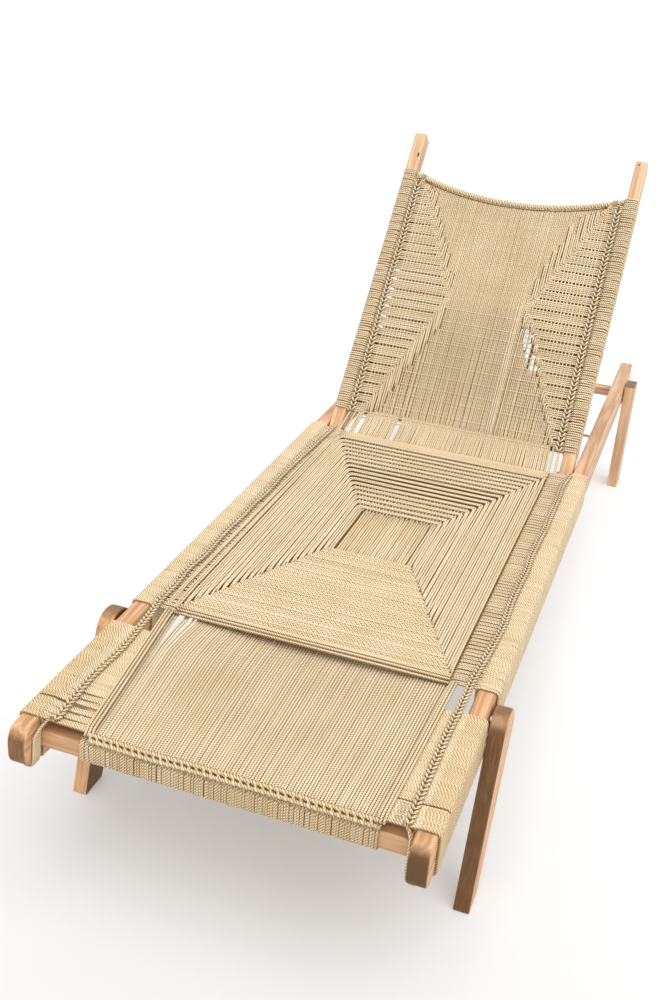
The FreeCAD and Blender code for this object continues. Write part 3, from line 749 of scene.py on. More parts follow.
class CHAISE_OT_steelwork(Operator):
    """Give the pins, bolts and prop axle their drawn steel"""

    bl_idname = "chaise.steelwork"
    bl_label = "Steelwork"

    def execute(self, context):
        fixings = ["hinge_pins", "hinge_washers", "hinge_nuts", "leg_bolts", "leg_inserts", "leg_spacers"]
        dress(fixings + ["prop_axle"], steel_finish())
        return {"FINISHED"}


class CHAISE_OT_rail_wraps(Operator):
    """Wind cord round the side rails and the front cross rail"""

    bl_idname = "chaise.rail_wraps"
    bl_label = "Rail wraps"

    foot_tone = 4.0
    # The front rail's turns are drawn darker: painted shade, as they face forward, away from the light
    front_shade = 3.0

    def execute(self, context):
        cord = context.scene.chaise_cord.thickness
        dice = np.random.default_rng(11)
        for side in SIDES:
            low, high = corners(f"{side}_seat_wrap")
            places = turns(low[1], high[1], cord, CLOSE_GROUPS, CLOSE_GAP, dice)
            for name, at, tone in (("seat", places, 0.0), ("foot", foot_turns(side), self.foot_tone)):
                node = f"{side}_{name}_wrap"
                cords = Cords(dice, facing=(0, 1, 0))
                wind(cords, *corners(node), cord, at, tone)
                cords.piece(f"{node}_turns", "frame", [node])
        swap = [1, 0, 2]
        cords = Cords(dice, lambda points: points[:, swap], ACROSS)
        low, high = (corner[swap] for corner in corners("front_rail_wrap"))
        places = turns(low[1], high[1], cord, CLOSE_GROUPS, CLOSE_GAP, dice)
        wind(cords, low, high, cord, places, self.front_shade)
        cords.piece("front_rail_turns", "frame", ["front_rail_wrap"])
        return {"FINISHED"}


class CHAISE_OT_upright_wraps(Operator):
    """Wind cord round the backrest's uprights, in small groups"""

    bl_idname = "chaise.upright_wraps"
    bl_label = "Upright wraps"

    # Least and most turns in a group, and the gap after one
    groups = (1, 4)
    gap = 0.0011

    def execute(self, context):
        cord = context.scene.chaise_cord.thickness
        dice = np.random.default_rng(12)
        along, _ = back_axes()
        for node in both("upright_wrap"):
            cords = Cords(dice, from_back, along)
            low, high = back_corners(node)
            places = turns(low[1], high[1], cord, self.groups, self.gap, dice)
            wind(cords, low, high, cord, places)
            cords.piece(f"{node}_turns", "backrest", [node])
        return {"FINISHED"}


class CHAISE_OT_bands(Operator):
    """Lay the ribbed bands of cord between the rails and the panels"""

    bl_idname = "chaise.bands"
    bl_label = "Ribbed bands"

    sag = 0.0012
    # The ribs beside the seat lie in pairs: least and most in one, pitch in cords, and the gap after a pair
    pair = (2, 2)
    pair_pitch = 0.9
    pair_gap = 0.0021
    # Length at the front of the left foot band where every second pair hangs lower, and by how many cords
    thin_length = 0.075
    thin_drop = 0.8
    # How far the inner end of a rib strays along the rail
    lean = 0.0005
    # Thickness of a rib, in cords
    slim = {"seat_band": 0.82, "foot_band": 1.0}
    # Shares of a rib's length, how much of its start's height it has there, and its dive in cords
    shares = np.array((0.0, 0.25, 0.5, 0.7, 0.88, 1.0))
    starts = np.array((1.0, 0.3, 0, 0, 0, 0))
    dives = np.array((0, 0, 0, 0.05, 0.3, 1.1))

    def execute(self, context):
        cord = context.scene.chaise_cord.thickness
        dice = np.random.default_rng(13)
        foot_edge = corners("foot_panel")[1][0]
        braid_low, braid_high = corners("front_braid")
        for side, sign in SIDES.items():
            wrap_high = corners(f"{side}_foot_wrap")[1]
            front_edge = abs(braid_low[0]) if sign < 0 else braid_high[0]
            low, high = corners(f"{side}_seat_band")
            inner = np.full(2, min(abs(low[0]), abs(high[0])))
            places = turns(low[1], high[1], self.pair_pitch * cord, self.pair, self.pair_gap, dice)
            self.ribs(f"{side}_seat_band", sign, places, inner, 0.0, cord, dice)
            high = corners(f"{side}_foot_band")[1]
            inner = np.array((front_edge, foot_edge))
            self.ribs(f"{side}_foot_band", sign, foot_turns(side), inner, wrap_high[2] - high[2], cord, dice)
        return {"FINISHED"}

    def ribs(self, node, sign, places, inner, start, cord, dice):
        """The ribs of one band, from over the rail's edge to the panel's.

        inner holds the panel's edge at the front and at the back; start is the ribs' height above the band
        at the rail.
        """
        foot_low, foot_high = corners("foot_panel")
        low, high = corners(node)
        outer = max(abs(low[0]), abs(high[0])) + (1 + (start > 0)) * cord
        slim = self.slim[node.split("_", 1)[1]]
        share = self.shares
        cords = Cords(dice)
        for i, at in enumerate(places):
            reach = np.interp(at, (foot_low[1], foot_high[1]), inner)
            slack = self.sag
            if node == "left_foot_band" and at < low[1] + self.thin_length and i % 4 > 1:
                slack = self.sag + self.thin_drop * cord
            height = high[2] - cord / 2 - slack * np.sin(share * TAU / 2)
            height += start * self.starts - cord * self.dives
            place = at + dice.normal(0, self.lean) * share + wander(len(share), TIGHT, dice)
            line = trace(sign * (outer + (reach - outer) * share), place, height)
            cords.lay(line, slim * cord / 2)
        cords.piece(f"{node}_ribs", "frame", [node])


class CHAISE_OT_chains(Operator):
    """Stitch the chains along the rails and the uprights"""

    bl_idname = "chaise.chains"
    bl_label = "Chains"

    # Sideways drift of the rail chains, in metres, at shares of their length from the front
    drift = {"left": ((0, 0.1, 0.22, 0.3, 0.4, 0.47, 0.51, 0.61, 0.75, 0.86, 0.91, 1),
                      (-0.012, -0.010, -0.006, 0.003, 0.006, 0.003,
                       0.0047, -0.001, 0.0015, -0.001, -0.0065, -0.009)),
             "right": ((0, 0.1, 0.17, 0.26, 0.31, 0.35, 0.42, 0.5, 0.6, 0.75, 0.87, 1),
                       (0.002, 0, -0.001, 0.004, 0.002, 0.0085,
                        0.011, 0.007, 0.0055, 0.008, 0.0065, 0.0115))}
    rail_reach = 0.0052
    rail_tone = 0.0
    rail_stray = 0.002
    back_reach = 0.006
    back_step = 0.0105
    back_tone = -3.0
    back_stray = 0.001
    # Thickness of the chains' cord and height of their line above the node's lower side, in cords
    slim = 0.95
    level = 0.45

    def execute(self, context):
        settings = context.scene.chaise_cord
        cord = self.slim * settings.thickness
        dice = np.random.default_rng(14)
        _, out = back_axes()
        count = 90
        share = np.linspace(0, 1, count)
        for side, sign in SIDES.items():
            node = f"{side}_rail_braid"
            low, high = corners(node)
            sideways = smooth(np.interp(share, *self.drift[side]), 7)
            across = (low[0] + high[0]) / 2 + sign * sideways
            across += smooth(wander(count, self.rail_stray, dice, 30), 5)
            line = trace(across, low[1] + (high[1] - low[1]) * share, low[2] + self.level * cord)
            cords = Cords(dice)
            chain(cords, line, cord, settings.chain_step, self.rail_reach, self.rail_tone)
            cords.piece(f"{node}_chain", "frame", [node])

            node = f"{side}_back_braid"
            low, high = back_corners(node)
            across = (low[0] + high[0]) / 2 + smooth(wander(count, self.back_stray, dice, 20))
            line = trace(across, low[1] + (high[1] - low[1]) * share, low[2] + self.level * cord)
            line = from_back(line)
            cords = Cords(dice, facing=out)
            chain(cords, line, cord, self.back_step, self.back_reach, self.back_tone)
            cords.piece(f"{node}_chain", "backrest", [node])
        return {"FINISHED"}


class CHAISE_OT_front_chain(Operator):
    """Stitch the double chain along the front edge of the foot panel"""

    bl_idname = "chaise.front_chain"
    bl_label = "Front chain"

    step = 0.0105
    tone = 2.5
    stray = 0.0012
    # Thickness of the chain's cord, in cords of the wraps
    stout = 1.3
    # Slope of the chain's face, which looks forward and up
    slope = math.radians(56)

    def execute(self, context):
        cord = self.stout * context.scene.chaise_cord.thickness
        dice = np.random.default_rng(25)
        low, high = corners("front_braid")
        count = 60
        across = np.linspace(low[0], high[0], count)
        height = low[2] + 0.15 * cord + smooth(wander(count, self.stray, dice, 14))
        line = trace(across, low[1] + 0.35 * cord, height)
        rising = np.array((0, math.cos(self.slope), math.sin(self.slope)))
        outward = np.array((0, -math.sin(self.slope), math.cos(self.slope)))
        cords = Cords(dice, facing=outward)
        stitches(cords, line, rising, cord, self.step, self.tone)
        cords.piece("front_chain", "frame", ["front_braid"])
        return {"FINISHED"}


class CHAISE_OT_lashings(Operator):
    """Lead the ends of the rail chains down and round the noses of the rails"""

    bl_idname = "chaise.lashings"
    bl_label = "Lashings"

    # Cords of a lashing, and how far each comes forward on its way down
    count = 4
    slope = 0.004

    def execute(self, context):
        cord = context.scene.chaise_cord.thickness
        dice = np.random.default_rng(26)
        for side, sign in SIDES.items():
            node = f"{side}_lashing"
            high = corners(node)[1]
            chain_low, chain_high = corners(f"{side}_rail_braid")
            rail_low, rail_high = corners(f"{side}_side_rail")
            face = min(abs(rail_low[0]), abs(rail_high[0])) - cord / 2
            inside = min(abs(chain_low[0]), abs(chain_high[0]))
            inward = (-sign, -0.5, 0.2)
            cords = Cords(dice, facing=(0, 1, 0))
            for i in range(self.count):
                front = high[1] - cord * (i + 0.5)
                foot = front - self.slope
                start = chain_low[1] + 0.3 * cord * i
                # From inside the chain's end, down the rail's inner face and in under the rail
                across = np.array((inside, inside + 0.9 * cord, face - 0.5 * cord, face,
                                   face, face + 0.4 * cord, face + 1.6 * cord, face + 3.0 * cord))
                place = np.array((start, start, (start + front) / 2, front, foot, foot, foot, foot))
                under = rail_low[2] - cord / 2
                height = np.array((chain_low[2] + 0.5 * cord, chain_low[2], high[2] - cord,
                                   high[2] - 3 * cord, rail_low[2] + 3 * cord, rail_low[2], under, under))
                line = trace(sign * across, place + wander(len(place), LOOSE, dice), height)
                cords.lay(line, cord / 2, out=inward)
            cords.piece(f"{node}_cords", "frame", [node])
        return {"FINISHED"}


class CHAISE_OT_foot_panel(Operator):
    """String the foot panel's lengthwise cords over the front cross rail"""

    bl_idname = "chaise.foot_panel"
    bl_label = "Foot panel"

    # Shares of the panel's length from the seat to the front, and the fall of a cord there, in metres
    shares = np.array((-0.3, -0.12, 0.0, 0.12, 0.25, 0.4, 0.55, 0.7, 0.82, 0.9, 0.95, 0.985, 1.0))
    fall = np.array((3.5, 3.5, 3.0, 1.2, 1.6, 2.2, 2.4, 2.2, 1.4, 0.9, 1.0, 2.6, 6.0)) * 0.001
    # Openings between the cords beside the seat: the cord that each follows, and its width
    openings = ((2, 0.010), (4, 0.006), (5, 0.003))
    open_share = 0.28
    # How far the middle cords hang lower, and the part of it that they have at shares of the panel's length
    belly = 0.010
    belly_shares = (-0.3, 0.0, 0.3, 0.85)
    belly_parts = (0.0, 1.0, 0.85, 0.0)
    # How far the second layer lies below the first, in cords
    layer_drop = 0.7
    # Cords over each band beside the panel, and their pitch in cords
    edge_cords = 3
    edge_pitch = 1.08
    pale_tone = -1.5

    def execute(self, context):
        settings = context.scene.chaise_cord
        cord = settings.foot_thickness
        dice = np.random.default_rng(15)
        low, high = corners("foot_panel")
        braid_low, braid_high = corners("front_braid")
        band_top = corners("left_foot_band")[1][2]
        edge = -0.5 * cord
        count = settings.foot_cords
        backs = np.linspace(low[0] + edge, high[0] - edge, count)
        fronts = np.linspace(braid_low[0] + edge, braid_high[0] - edge, count)
        shift = np.zeros(count)
        for after, width in self.openings:
            shift[after + 1:] += width
        shift *= np.linspace(1, 0, count) ** 3
        lean = np.clip(self.shares, 0, 1)
        parted = np.clip(1 - lean / self.open_share, 0, 1)
        hang = np.interp(self.shares, self.belly_shares, self.belly_parts) * self.belly
        along = high[1] - self.shares * (high[1] - low[1])
        along[-2:] += 0.5 * cord
        cords = Cords(dice)
        for layer in range(2):
            for i in range(count - layer):
                back = backs[i] + 0.5 * layer * (backs[i + layer] - backs[i])
                front = fronts[i] + 0.5 * layer * (fronts[i + layer] - fronts[i])
                if layer and i in dict(self.openings):
                    continue
                across = back + (front - back) * lean + shift[i] * parted + wander(len(lean), TIGHT, dice)
                height = high[2] - cord / 2 - self.fall - layer * self.layer_drop * cord
                height -= hang * (1 - (back / high[0]) ** 2)
                cords.lay(trace(across, along, height), cord / 2, self.pale_tone)
        laid = self.shares >= 0
        for sign, front, back in ((-1, -braid_low[0], -low[0]), (1, braid_high[0], high[0])):
            for i in range(self.edge_cords):
                across = sign * (back + (front - back) * lean + (self.edge_pitch * i - 0.5) * cord)
                height = band_top + (0.2 - 0.5 * (i == 0)) * cord - self.fall * (lean > 0.97)
                line = trace(across + wander(len(lean), FIRM, dice), along, height)
                cords.lay(line[laid], cord / 2)
        cords.piece("foot_panel_cords", "frame", ["foot_panel"])
        return {"FINISHED"}


class CHAISE_OT_seat_surround(Operator):
    """Lay the long seat cords: up one side, across the back in double rows and down the other side"""

    bl_idname = "chaise.seat_surround"
    bl_label = "Seat surround"

    # Size of the turn at a cord's back corner, on the left and on the right
    corner = {-1: 0.010, 1: 0.005}
    # Length of a cord's tip, and where on the front mitre it may start
    tip = 0.02
    tip_scatter = (-0.014, 0.002)
    # How far the two cords of a pair draw together at their tips and at their back corners
    pinch = {-1: 0.0022, 1: 0.0010}
    corner_pinch = {-1: 0.0006, 1: 0.0014}
    # Length before the corner in which they draw together
    parting = 0.028
    # Parts of both pinches at eight places from tip to corner, and the fall of the tip there, in cords
    pinch_parts = np.array((0.9, 1.0, 0.6, 0.1, 0, 0, 0, 0))
    corner_parts = np.array((0, 0, 0, 0, 0, 0.05, 0.4, 1.0))
    tip_fall = np.array((1.0, 0.25, 0, 0, 0, 0, 0, 0))
    # From the back edge of a double row to its first cord, and on to its second, in cords
    row_inset = 0.55
    twin_pitch = 1.12
    pale_tone = -1.5
    # How far outside the left field each long cord lies at the front and at the back
    long_cords = ((0.0045, 0.0015), (0.009, 0.006), (0.019, 0.009), (0.0235, 0.0135))
    overrun = 0.008

    def execute(self, context):
        settings = context.scene.chaise_cord
        cord = settings.field_thickness
        dice = np.random.default_rng(16)
        back_low, back_high = corners("seat_back_field")
        front_low, front_high = corners("seat_front_field")
        inner = corners("seat_centre_field")[1][0]
        outer = back_high[0]
        count = 2 * settings.seat_rows
        pitch = (outer - inner) / count
        row = (back_high[1] - back_low[1]) / settings.seat_rows
        top = back_high[2] - cord / 2
        cords = Cords(dice)
        for k in range(count):
            pair, twin = divmod(k, 2)
            x = outer - (k + 0.5) * pitch
            y = back_high[1] - pair * row - cord * (self.row_inset + self.twin_pitch * twin)
            mitre = front_high[1] - (x - inner) / (outer - inner) * (front_high[1] - front_low[1])
            halves = {sign: self.half(sign, x, y, mitre, top, twin, cord, dice) for sign in SIDES.values()}
            between = np.linspace(halves[-1][-1], halves[1][-1], 12)[1:-1]
            between[:, 1] += wander(len(between), LOOSE, dice)
            between[:, 2] -= np.abs(wander(len(between), FIRM, dice))
            line = np.concatenate((halves[-1], between, halves[1][::-1]))
            cords.lay(line, cord / 2, self.pale_tone)
        along = np.linspace(front_low[1] - self.overrun, back_high[1] + self.overrun, 12)
        for ends in self.long_cords:
            x = -outer - np.linspace(*ends, len(along))
            line = trace(x + wander(len(along), SLACK, dice), along, top + 0.45 * cord)
            line[[0, -1], 2] -= cord
            cords.lay(line, cord / 2)
        nodes = ["seat_back_field", *both("seat_side_field")]
        cords.piece("seat_surround_cords", "frame", nodes)
        return {"FINISHED"}

    def half(self, sign, x, y, mitre, top, twin, cord, dice):
        """One side of a cord, from its tip on the front mitre to just past its back corner."""
        corner = self.corner[sign]
        tip = mitre + dice.uniform(*self.tip_scatter)
        start = tip + self.tip
        end = y - 2 * corner
        down = np.array((tip, tip + 0.4 * self.tip, start, start + 0.03, (start + end) / 2,
                         end - 2 * self.parting, end - self.parting, end))
        squeeze = self.pinch_parts * self.pinch[sign] * dice.uniform(0.6, 1.1)
        squeeze += self.corner_parts * self.corner_pinch[sign] * dice.uniform(0.7, 1.1)
        x -= squeeze[-1] * (0.5 - twin)
        across = sign * (x - (squeeze - squeeze[-1]) * (0.5 - twin)) + wander(len(down), LOOSE, dice)
        height = top - self.tip_fall * cord - np.abs(wander(len(down), FIRM, dice))
        bend = elbow((sign * x, y - corner, top), (sign * x, y, top), (sign * (x - corner), y, top))
        return np.concatenate((trace(across, down, height), bend))


class CHAISE_OT_seat_under(Operator):
    """Lay the seat's lower layer, which shows in the gaps between the top cords, with its upper side painted
    in shade
    """

    bl_idname = "chaise.seat_under"
    bl_label = "Seat under layer"

    # Stretches of the back field, in rows from its back edge, where lengthwise cords cross the gaps
    crossed = ((0.3, 6.6), (11.5, 17.0))
    # Pitch of the cords of the layer, and of the lengthwise ones, in cords
    pitch = 0.94
    cross_pitch = 1.45

    def execute(self, context):
        settings = context.scene.chaise_cord
        cord = settings.thickness
        dice = np.random.default_rng(17)
        back_low, back_high = corners("seat_back_field")
        front_low = corners("seat_front_field")[0]
        inner = corners("seat_centre_field")[1][0]
        row = (back_high[1] - back_low[1]) / settings.seat_rows
        level = back_low[2] + cord / 2
        reach = corners("right_seat_band")[1][0]
        cords = Cords(dice, sides=5)
        for at in np.arange(front_low[1] + cord / 2, back_high[1], self.pitch * cord):
            line = trace((-reach, 0, reach), at, level)
            cords.lay(line, cord / 2)
        # The lower layer's finish paints shade on its upper side
        cords.piece("seat_under_cords", "frame", finish=cord_finish("seat_under_shaded_cord", (0, 0, 1)))
        cords = Cords(dice, sides=5)
        for at in np.arange(-back_high[0] + cord, back_high[0] - cord / 2, self.cross_pitch * cord):
            inset = max(0.0, abs(at) - inner) / (back_high[0] - inner)
            mitre = back_low[1] + inset * (back_high[1] - back_low[1])
            for first, last in self.crossed:
                far = back_high[1] - first * row
                near = max(back_high[1] - last * row, mitre)
                if far - near > row:
                    across = at + dice.normal(0, SLACK, 3)
                    line = trace(across, np.linspace(near, far, 3), level + 0.62 * cord)
                    cords.lay(line, 0.38 * cord)
        cords.piece("seat_cross_cords", "frame")
        return {"FINISHED"}


class CHAISE_OT_seat_front(Operator):
    """Lay the close rows of the seat's front field, which rise and fall over its hidden lengthwise cords"""

    bl_idname = "chaise.seat_front"
    bl_label = "Seat front field"

    # Pitch of the rows, in cords
    pitch = 0.99
    wave = 0.0007
    # Every so many rows one lies straight, over the others
    straight_every = 6

    def execute(self, context):
        settings = context.scene.chaise_cord
        radius = settings.field_thickness / 2
        dice = np.random.default_rng(18)
        low, high = corners("seat_front_field")
        inner = corners("seat_centre_field")[1][0]
        step = settings.weave_step
        grid = np.arange(-int(high[0] / step) - 1, int(high[0] / step) + 2)
        top = high[2] - radius
        cords = Cords(dice)
        for i, at in enumerate(np.arange(low[1] + radius, high[1] - radius, self.pitch * 2 * radius)):
            reach = high[0] - (at - low[1]) / (high[1] - low[1]) * (high[0] - inner)
            cross = grid[np.abs(grid * step) < reach]
            rise = np.where((cross + i) % 2, self.wave, -self.wave)
            height = top - self.wave + rise
            if i % self.straight_every == 2:
                height = top + 0.2 * self.wave
            line = trace(cross * step, at + wander(len(cross), TIGHT, dice), height)
            cords.lay(line, radius)
        cords.piece("seat_front_weave", "frame", ["seat_front_field"])
        return {"FINISHED"}


class CHAISE_OT_seat_centre(Operator):
    """Lay the seat's sunk centre and the cords that frame it"""

    bl_idname = "chaise.seat_centre"
    bl_label = "Seat centre"

    # Cords that frame the centre on each side, and the gap beside them
    frame_cords = 2
    gap = 0.0028
    # How far the cords run on under the front and the back field
    overruns = (0.01, 0.004)
    # Pitch of the centre's cords, in cords
    pitch = 0.97

    def execute(self, context):
        cord = context.scene.chaise_cord.thickness
        dice = np.random.default_rng(19)
        low, high = corners("seat_centre_field")
        top = corners("seat_front_field")[1][2]
        along = np.linspace(low[1] - self.overruns[0], high[1] + self.overruns[1], 6)
        cords = Cords(dice)
        for sign in SIDES.values():
            for i in range(self.frame_cords):
                x = sign * (high[0] - (i + 0.5) * cord)
                line = trace(x + wander(len(along), FIRM, dice), along, top - 0.55 * cord)
                cords.lay(line, cord / 2)
        reach = high[0] - self.frame_cords * cord - self.gap - cord / 2
        for x in np.linspace(-reach, reach, int(2 * reach / (self.pitch * cord)) + 1):
            height = high[2] - cord / 2 - np.abs(wander(len(along), FIRM, dice))
            line = trace(x + wander(len(along), LOOSE, dice), along, height)
            cords.lay(line, cord / 2)
        cords.piece("seat_centre_cords", "frame", ["seat_centre_field"])
        return {"FINISHED"}


class CHAISE_OT_seat_edges(Operator):
    """Lay the cords along the seat's front and back edges"""

    bl_idname = "chaise.seat_edges"
    bl_label = "Seat edges"

    # How far each cord lies below the top of the weave, in cord thicknesses, from the front
    falls = {"seat_front_rope": (0.9, 0.0, 0.75, 0.1, 0.05),
             "seat_back_rope": (0.0, 0.0, 0.05, 0.1, 0.2, 0.35, 0.8)}
    stray = 0.0005

    def execute(self, context):
        cord = context.scene.chaise_cord.thickness
        dice = np.random.default_rng(20)
        for node, falls in self.falls.items():
            low, high = corners(node)
            across = np.linspace(low[0], high[0], 16)
            cords = Cords(dice)
            for at, fall in zip(np.linspace(low[1] + cord / 2, high[1] - cord / 2, len(falls)), falls):
                place = at + wander(len(across), self.stray, dice)
                line = trace(across, place, high[2] - cord * (0.5 + fall))
                cords.lay(line, 0.51 * cord)
            cords.piece(f"{node}_cords", "frame", [node])
        return {"FINISHED"}


class CHAISE_OT_back_centre(Operator):
    """Weave the hourglass of the back, close above the waist and open towards the seat"""

    bl_idname = "chaise.back_centre"
    bl_label = "Back centre"

    # How much wider the weave's step gets from the waist down to the seat, and how far its cords thin there
    opening = 0.9
    slimming = (0.14, 0.34)
    end = 0.004
    # How far the weave runs in under the side fields
    margin = 0.006
    # Rise and fall of the lengthwise cords, and how much flatter it gets towards the seat
    wave = 0.0012
    flattening = 0.45
    # The cords across lie a little below the weave's middle; at each line pitch one lies over the others
    weft_fall = 0.0003
    weft_tone = 0.6
    line_pitch = 0.027
    line_lift = 0.0017
    line_tone = -3.0
    # Strips across the back whose lengthwise cords lie bold over the others below the waist
    bold_strips = ((0.069, 0.0785), (0.088, 0.0930))
    bold_lift = 0.0014
    bold_tone = -2.5

    def execute(self, context):
        settings = context.scene.chaise_cord
        radius = settings.field_thickness / 2
        dice = np.random.default_rng(21)
        _, rope_height, waist_at = back_outline()
        low, high = back_corners("back_centre_field")
        _, out = back_axes()
        rope_low, rope_high = back_corners("top_rope")
        rope = (rope_high[2] - rope_low[2]) / 2
        along = self.rows(rope_height(high[0]) - 2 * rope, low[1], waist_at, settings.weave_step)
        below = np.clip((waist_at - along) / (waist_at - low[1]), 0, 1)
        lines = np.diff(np.floor(along / self.line_pitch), prepend=0) < 0
        lift = np.where(lines & (below > 0.02), self.line_lift, 0.0)
        warps = back_warps()
        warped, wefted = self.held(warps, along, 0.4 * rope)
        bold = np.any([(warps > low_x) & (warps < high_x) for low_x, high_x in self.bold_strips], axis=0)
        sign = np.where((np.arange(len(along))[:, None] + np.arange(len(warps))[None, :]) % 2, 1.0, -1.0)
        middle = high[2] - 1.35 * radius
        rise = self.wave * (1 - self.flattening * below)
        cords = Cords(dice, from_back, out)
        for j, x in enumerate(warps):
            for run in runs(warped[:, j]):
                place = x + wander(len(run), FIRM, dice) + dice.normal(0, SLACK) * below[run]
                height = middle + rise[run] * sign[run, j]
                slim = dice.uniform(*self.slimming) * np.sqrt(np.sin(TAU / 2 * below[run]))
                if bold[j]:
                    height = np.where(below[run] > 0, middle + self.bold_lift, height)
                    slim *= 0.4
                height[run == len(along) - 1] -= 2 * radius
                line = trace(place, along[run], height)
                cords.lay(line, radius * (1 - slim), self.bold_tone * bold[j])
        for i, at in enumerate(along):
            for run in runs(wefted[i]):
                height = middle - self.weft_fall + lift[i] - 0.75 * rise[i] * sign[i, run] * (lift[i] == 0)
                line = trace(warps[run], at, height)
                tone = self.line_tone if lift[i] else self.weft_tone
                thin = 0.78 - 0.13 * (below[i] > 0)
                cords.lay(line, thin * radius, tone)
        # Thin cords in painted shade along the bold strips' edges show as dark slits
        bared = along[(below > 0) & (along > low[1] + 2 * self.end)]
        for x in np.ravel(self.bold_strips):
            line = trace(x, bared, middle + radius)
            cords.add(line, 0.3 * radius, SHADED_TONE)
        cords.piece("back_centre_weave", "backrest", ["back_centre_field"])
        return {"FINISHED"}

    def rows(self, start, low, waist_at, step):
        """Places of the cords across, from a start at the top down, wider apart below the waist."""
        along = [start]
        while along[-1] > low + self.end + 2 * step:
            below = max(0.0, waist_at - along[-1]) / (waist_at - low)
            along.append(along[-1] - step * (1 + self.opening * below))
        return np.array(along + [low + self.end])

    def held(self, warps, along, clear):
        """Tells, for every crossing, if its lengthwise cord is there, and if its cord across is.

        Both keep clear of the top rope, and every second one is left out where the back can be seen through.
        """
        half_width, rope_height, _ = back_outline()
        across, heights = np.meshgrid(warps, along)
        inside = np.abs(across) < half_width(heights, np.sign(across)) + self.margin
        inside &= heights < rope_height(across) - clear
        ladder = in_ladder(across, heights)
        warped = inside & ~(ladder & (np.arange(len(warps)) % 2 > 0))
        wefted = inside & ~(ladder & (np.arange(len(along))[:, None] % 2 > 0))
        return warped, wefted


class CHAISE_OT_back_sides(Operator):
    """Lay the banded side fields of the back; the inner cords of each band turn along the hourglass"""

    bl_idname = "chaise.back_sides"
    bl_label = "Back sides"

    # Cords in a band, from the first number to below the second, and their pitch in cords
    band_cords = (4, 6)
    close = 1.04
    # Gap after a band at the top of the back, and from the waist down
    gap = (0.0015, 0.0034)
    sag = 0.0006
    # Cords of a band that turn along the hourglass, and how far they run, above and below its waist
    turning = 2
    turn_tone = -2.0
    upper_run = {-1: (0.02, 0.05), 1: (0.05, 0.11)}
    lower_run = {-1: (0.05, 0.09), 1: (0.016, 0.026)}
    # Lengthwise cords between the bands: pitch in cords, and distance from upright, lower end and rope
    between_pitch = 1.8
    between_insets = (0.03, 0.004, 0.02)
    between_tone = -2.0

    def execute(self, context):
        settings = context.scene.chaise_cord
        cord = settings.field_thickness
        dice = np.random.default_rng(22)
        half_width, rope_height, waist_at = back_outline()
        _, out = back_axes()
        for side, sign in SIDES.items():
            node = f"{side}_back_side_field"
            low, high = back_corners(node)
            outer = max(abs(low[0]), abs(high[0])) + cord
            limit = rope_height(outer) - 1.6 * cord
            top = high[2] - 0.35 * cord
            cords = Cords(dice, from_back, out)
            at = low[1] + cord / 2
            while at < limit:
                count = dice.integers(*self.band_cords)
                band = at + np.arange(count) * self.close * cord
                band = band[band < limit]
                inner = float(half_width(band.mean(), sign))
                upper = band.mean() > waist_at
                order = band[::-1] if upper else band
                room = rope_height(inner) - order[0] - 3 * cord if upper else order[0] - low[1]
                reach = min(room, dice.uniform(*(self.upper_run if upper else self.lower_run)[sign]))
                reach = reach if upper else -reach
                for j, a in enumerate(order):
                    run = reach * dice.uniform(0.9, 1.0) if j < self.turning else 0.0
                    line = self.band_cord(outer, inner - j * self.close * cord, a, top, run, cord, dice)
                    line[:, 0] *= sign
                    cords.lay(line, cord / 2, self.turn_tone * (run != 0))
                # A thin cord in painted shade beside the turned cords shows as a dark slit
                if abs(reach) > 2 * cord:
                    slit = sign * (inner - (self.turning - 0.35) * self.close * cord)
                    ends = order[0] + reach * np.array((0.1, 0.5, 0.85))
                    line = trace(slit, ends, top + 0.1 * cord)
                    cords.add(line, 0.3 * cord, SHADED_TONE)
                at += len(band) * self.close * cord
                at += np.interp(at, (waist_at, limit), self.gap[::-1]) * dice.uniform(0.85, 1.15)
            self.fill(cords, sign, min(abs(low[0]), abs(high[0])), outer, low[1], top, cord)
            cords.piece(f"{node}_bands", "backrest", [node])
        return {"FINISHED"}

    def fill(self, cords, sign, waist, outer, start, top, cord):
        """Adds the lengthwise cords of one side that show between its bands."""
        half_width, rope_height, _ = back_outline()
        beside, above, under = self.between_insets
        for x in np.arange(waist + cord, outer - beside, self.between_pitch * cord):
            held = np.linspace(start + above, rope_height(x) - under, 60)
            for run in runs(half_width(held, sign) < x):
                ends = held[run[[0, len(run) // 2, -1]]]
                line = trace(sign * x, ends, top - 0.2 * cord)
                cords.lay(line, 0.42 * cord, self.between_tone)

    def band_cord(self, outer, inner, a, top, run, cord, dice):
        """One cord of a band: in from the upright, and then either down into the weave or along it."""
        share = np.array((0.0, 0.15, 0.4, 0.7, 0.9))
        across = outer + (inner + 1.5 * cord - outer) * share
        height = top - self.sag * np.sin(share * TAU / 2) - np.array((0.4, 0, 0, 0, 0)) * cord
        line = trace(across, a + wander(len(share), FIRM, dice), height)
        if abs(run) < 2 * cord:
            return np.concatenate((line, [(inner + cord, a, top - 0.2 * cord), (inner, a, top - cord)]))
        way = math.copysign(1.2 * cord, run)
        raised = top + 0.3 * cord
        bend = elbow((inner + 1.2 * cord, a, top), (inner, a, raised), (inner, a + way, raised))
        ends = a + run * np.array((0.5, 0.85, 1.0))
        rest = trace(inner + wander(len(ends), LOOSE, dice), ends, raised - np.array((0, 0.1, 1.1)) * cord)
        return np.concatenate((line, bend, rest))


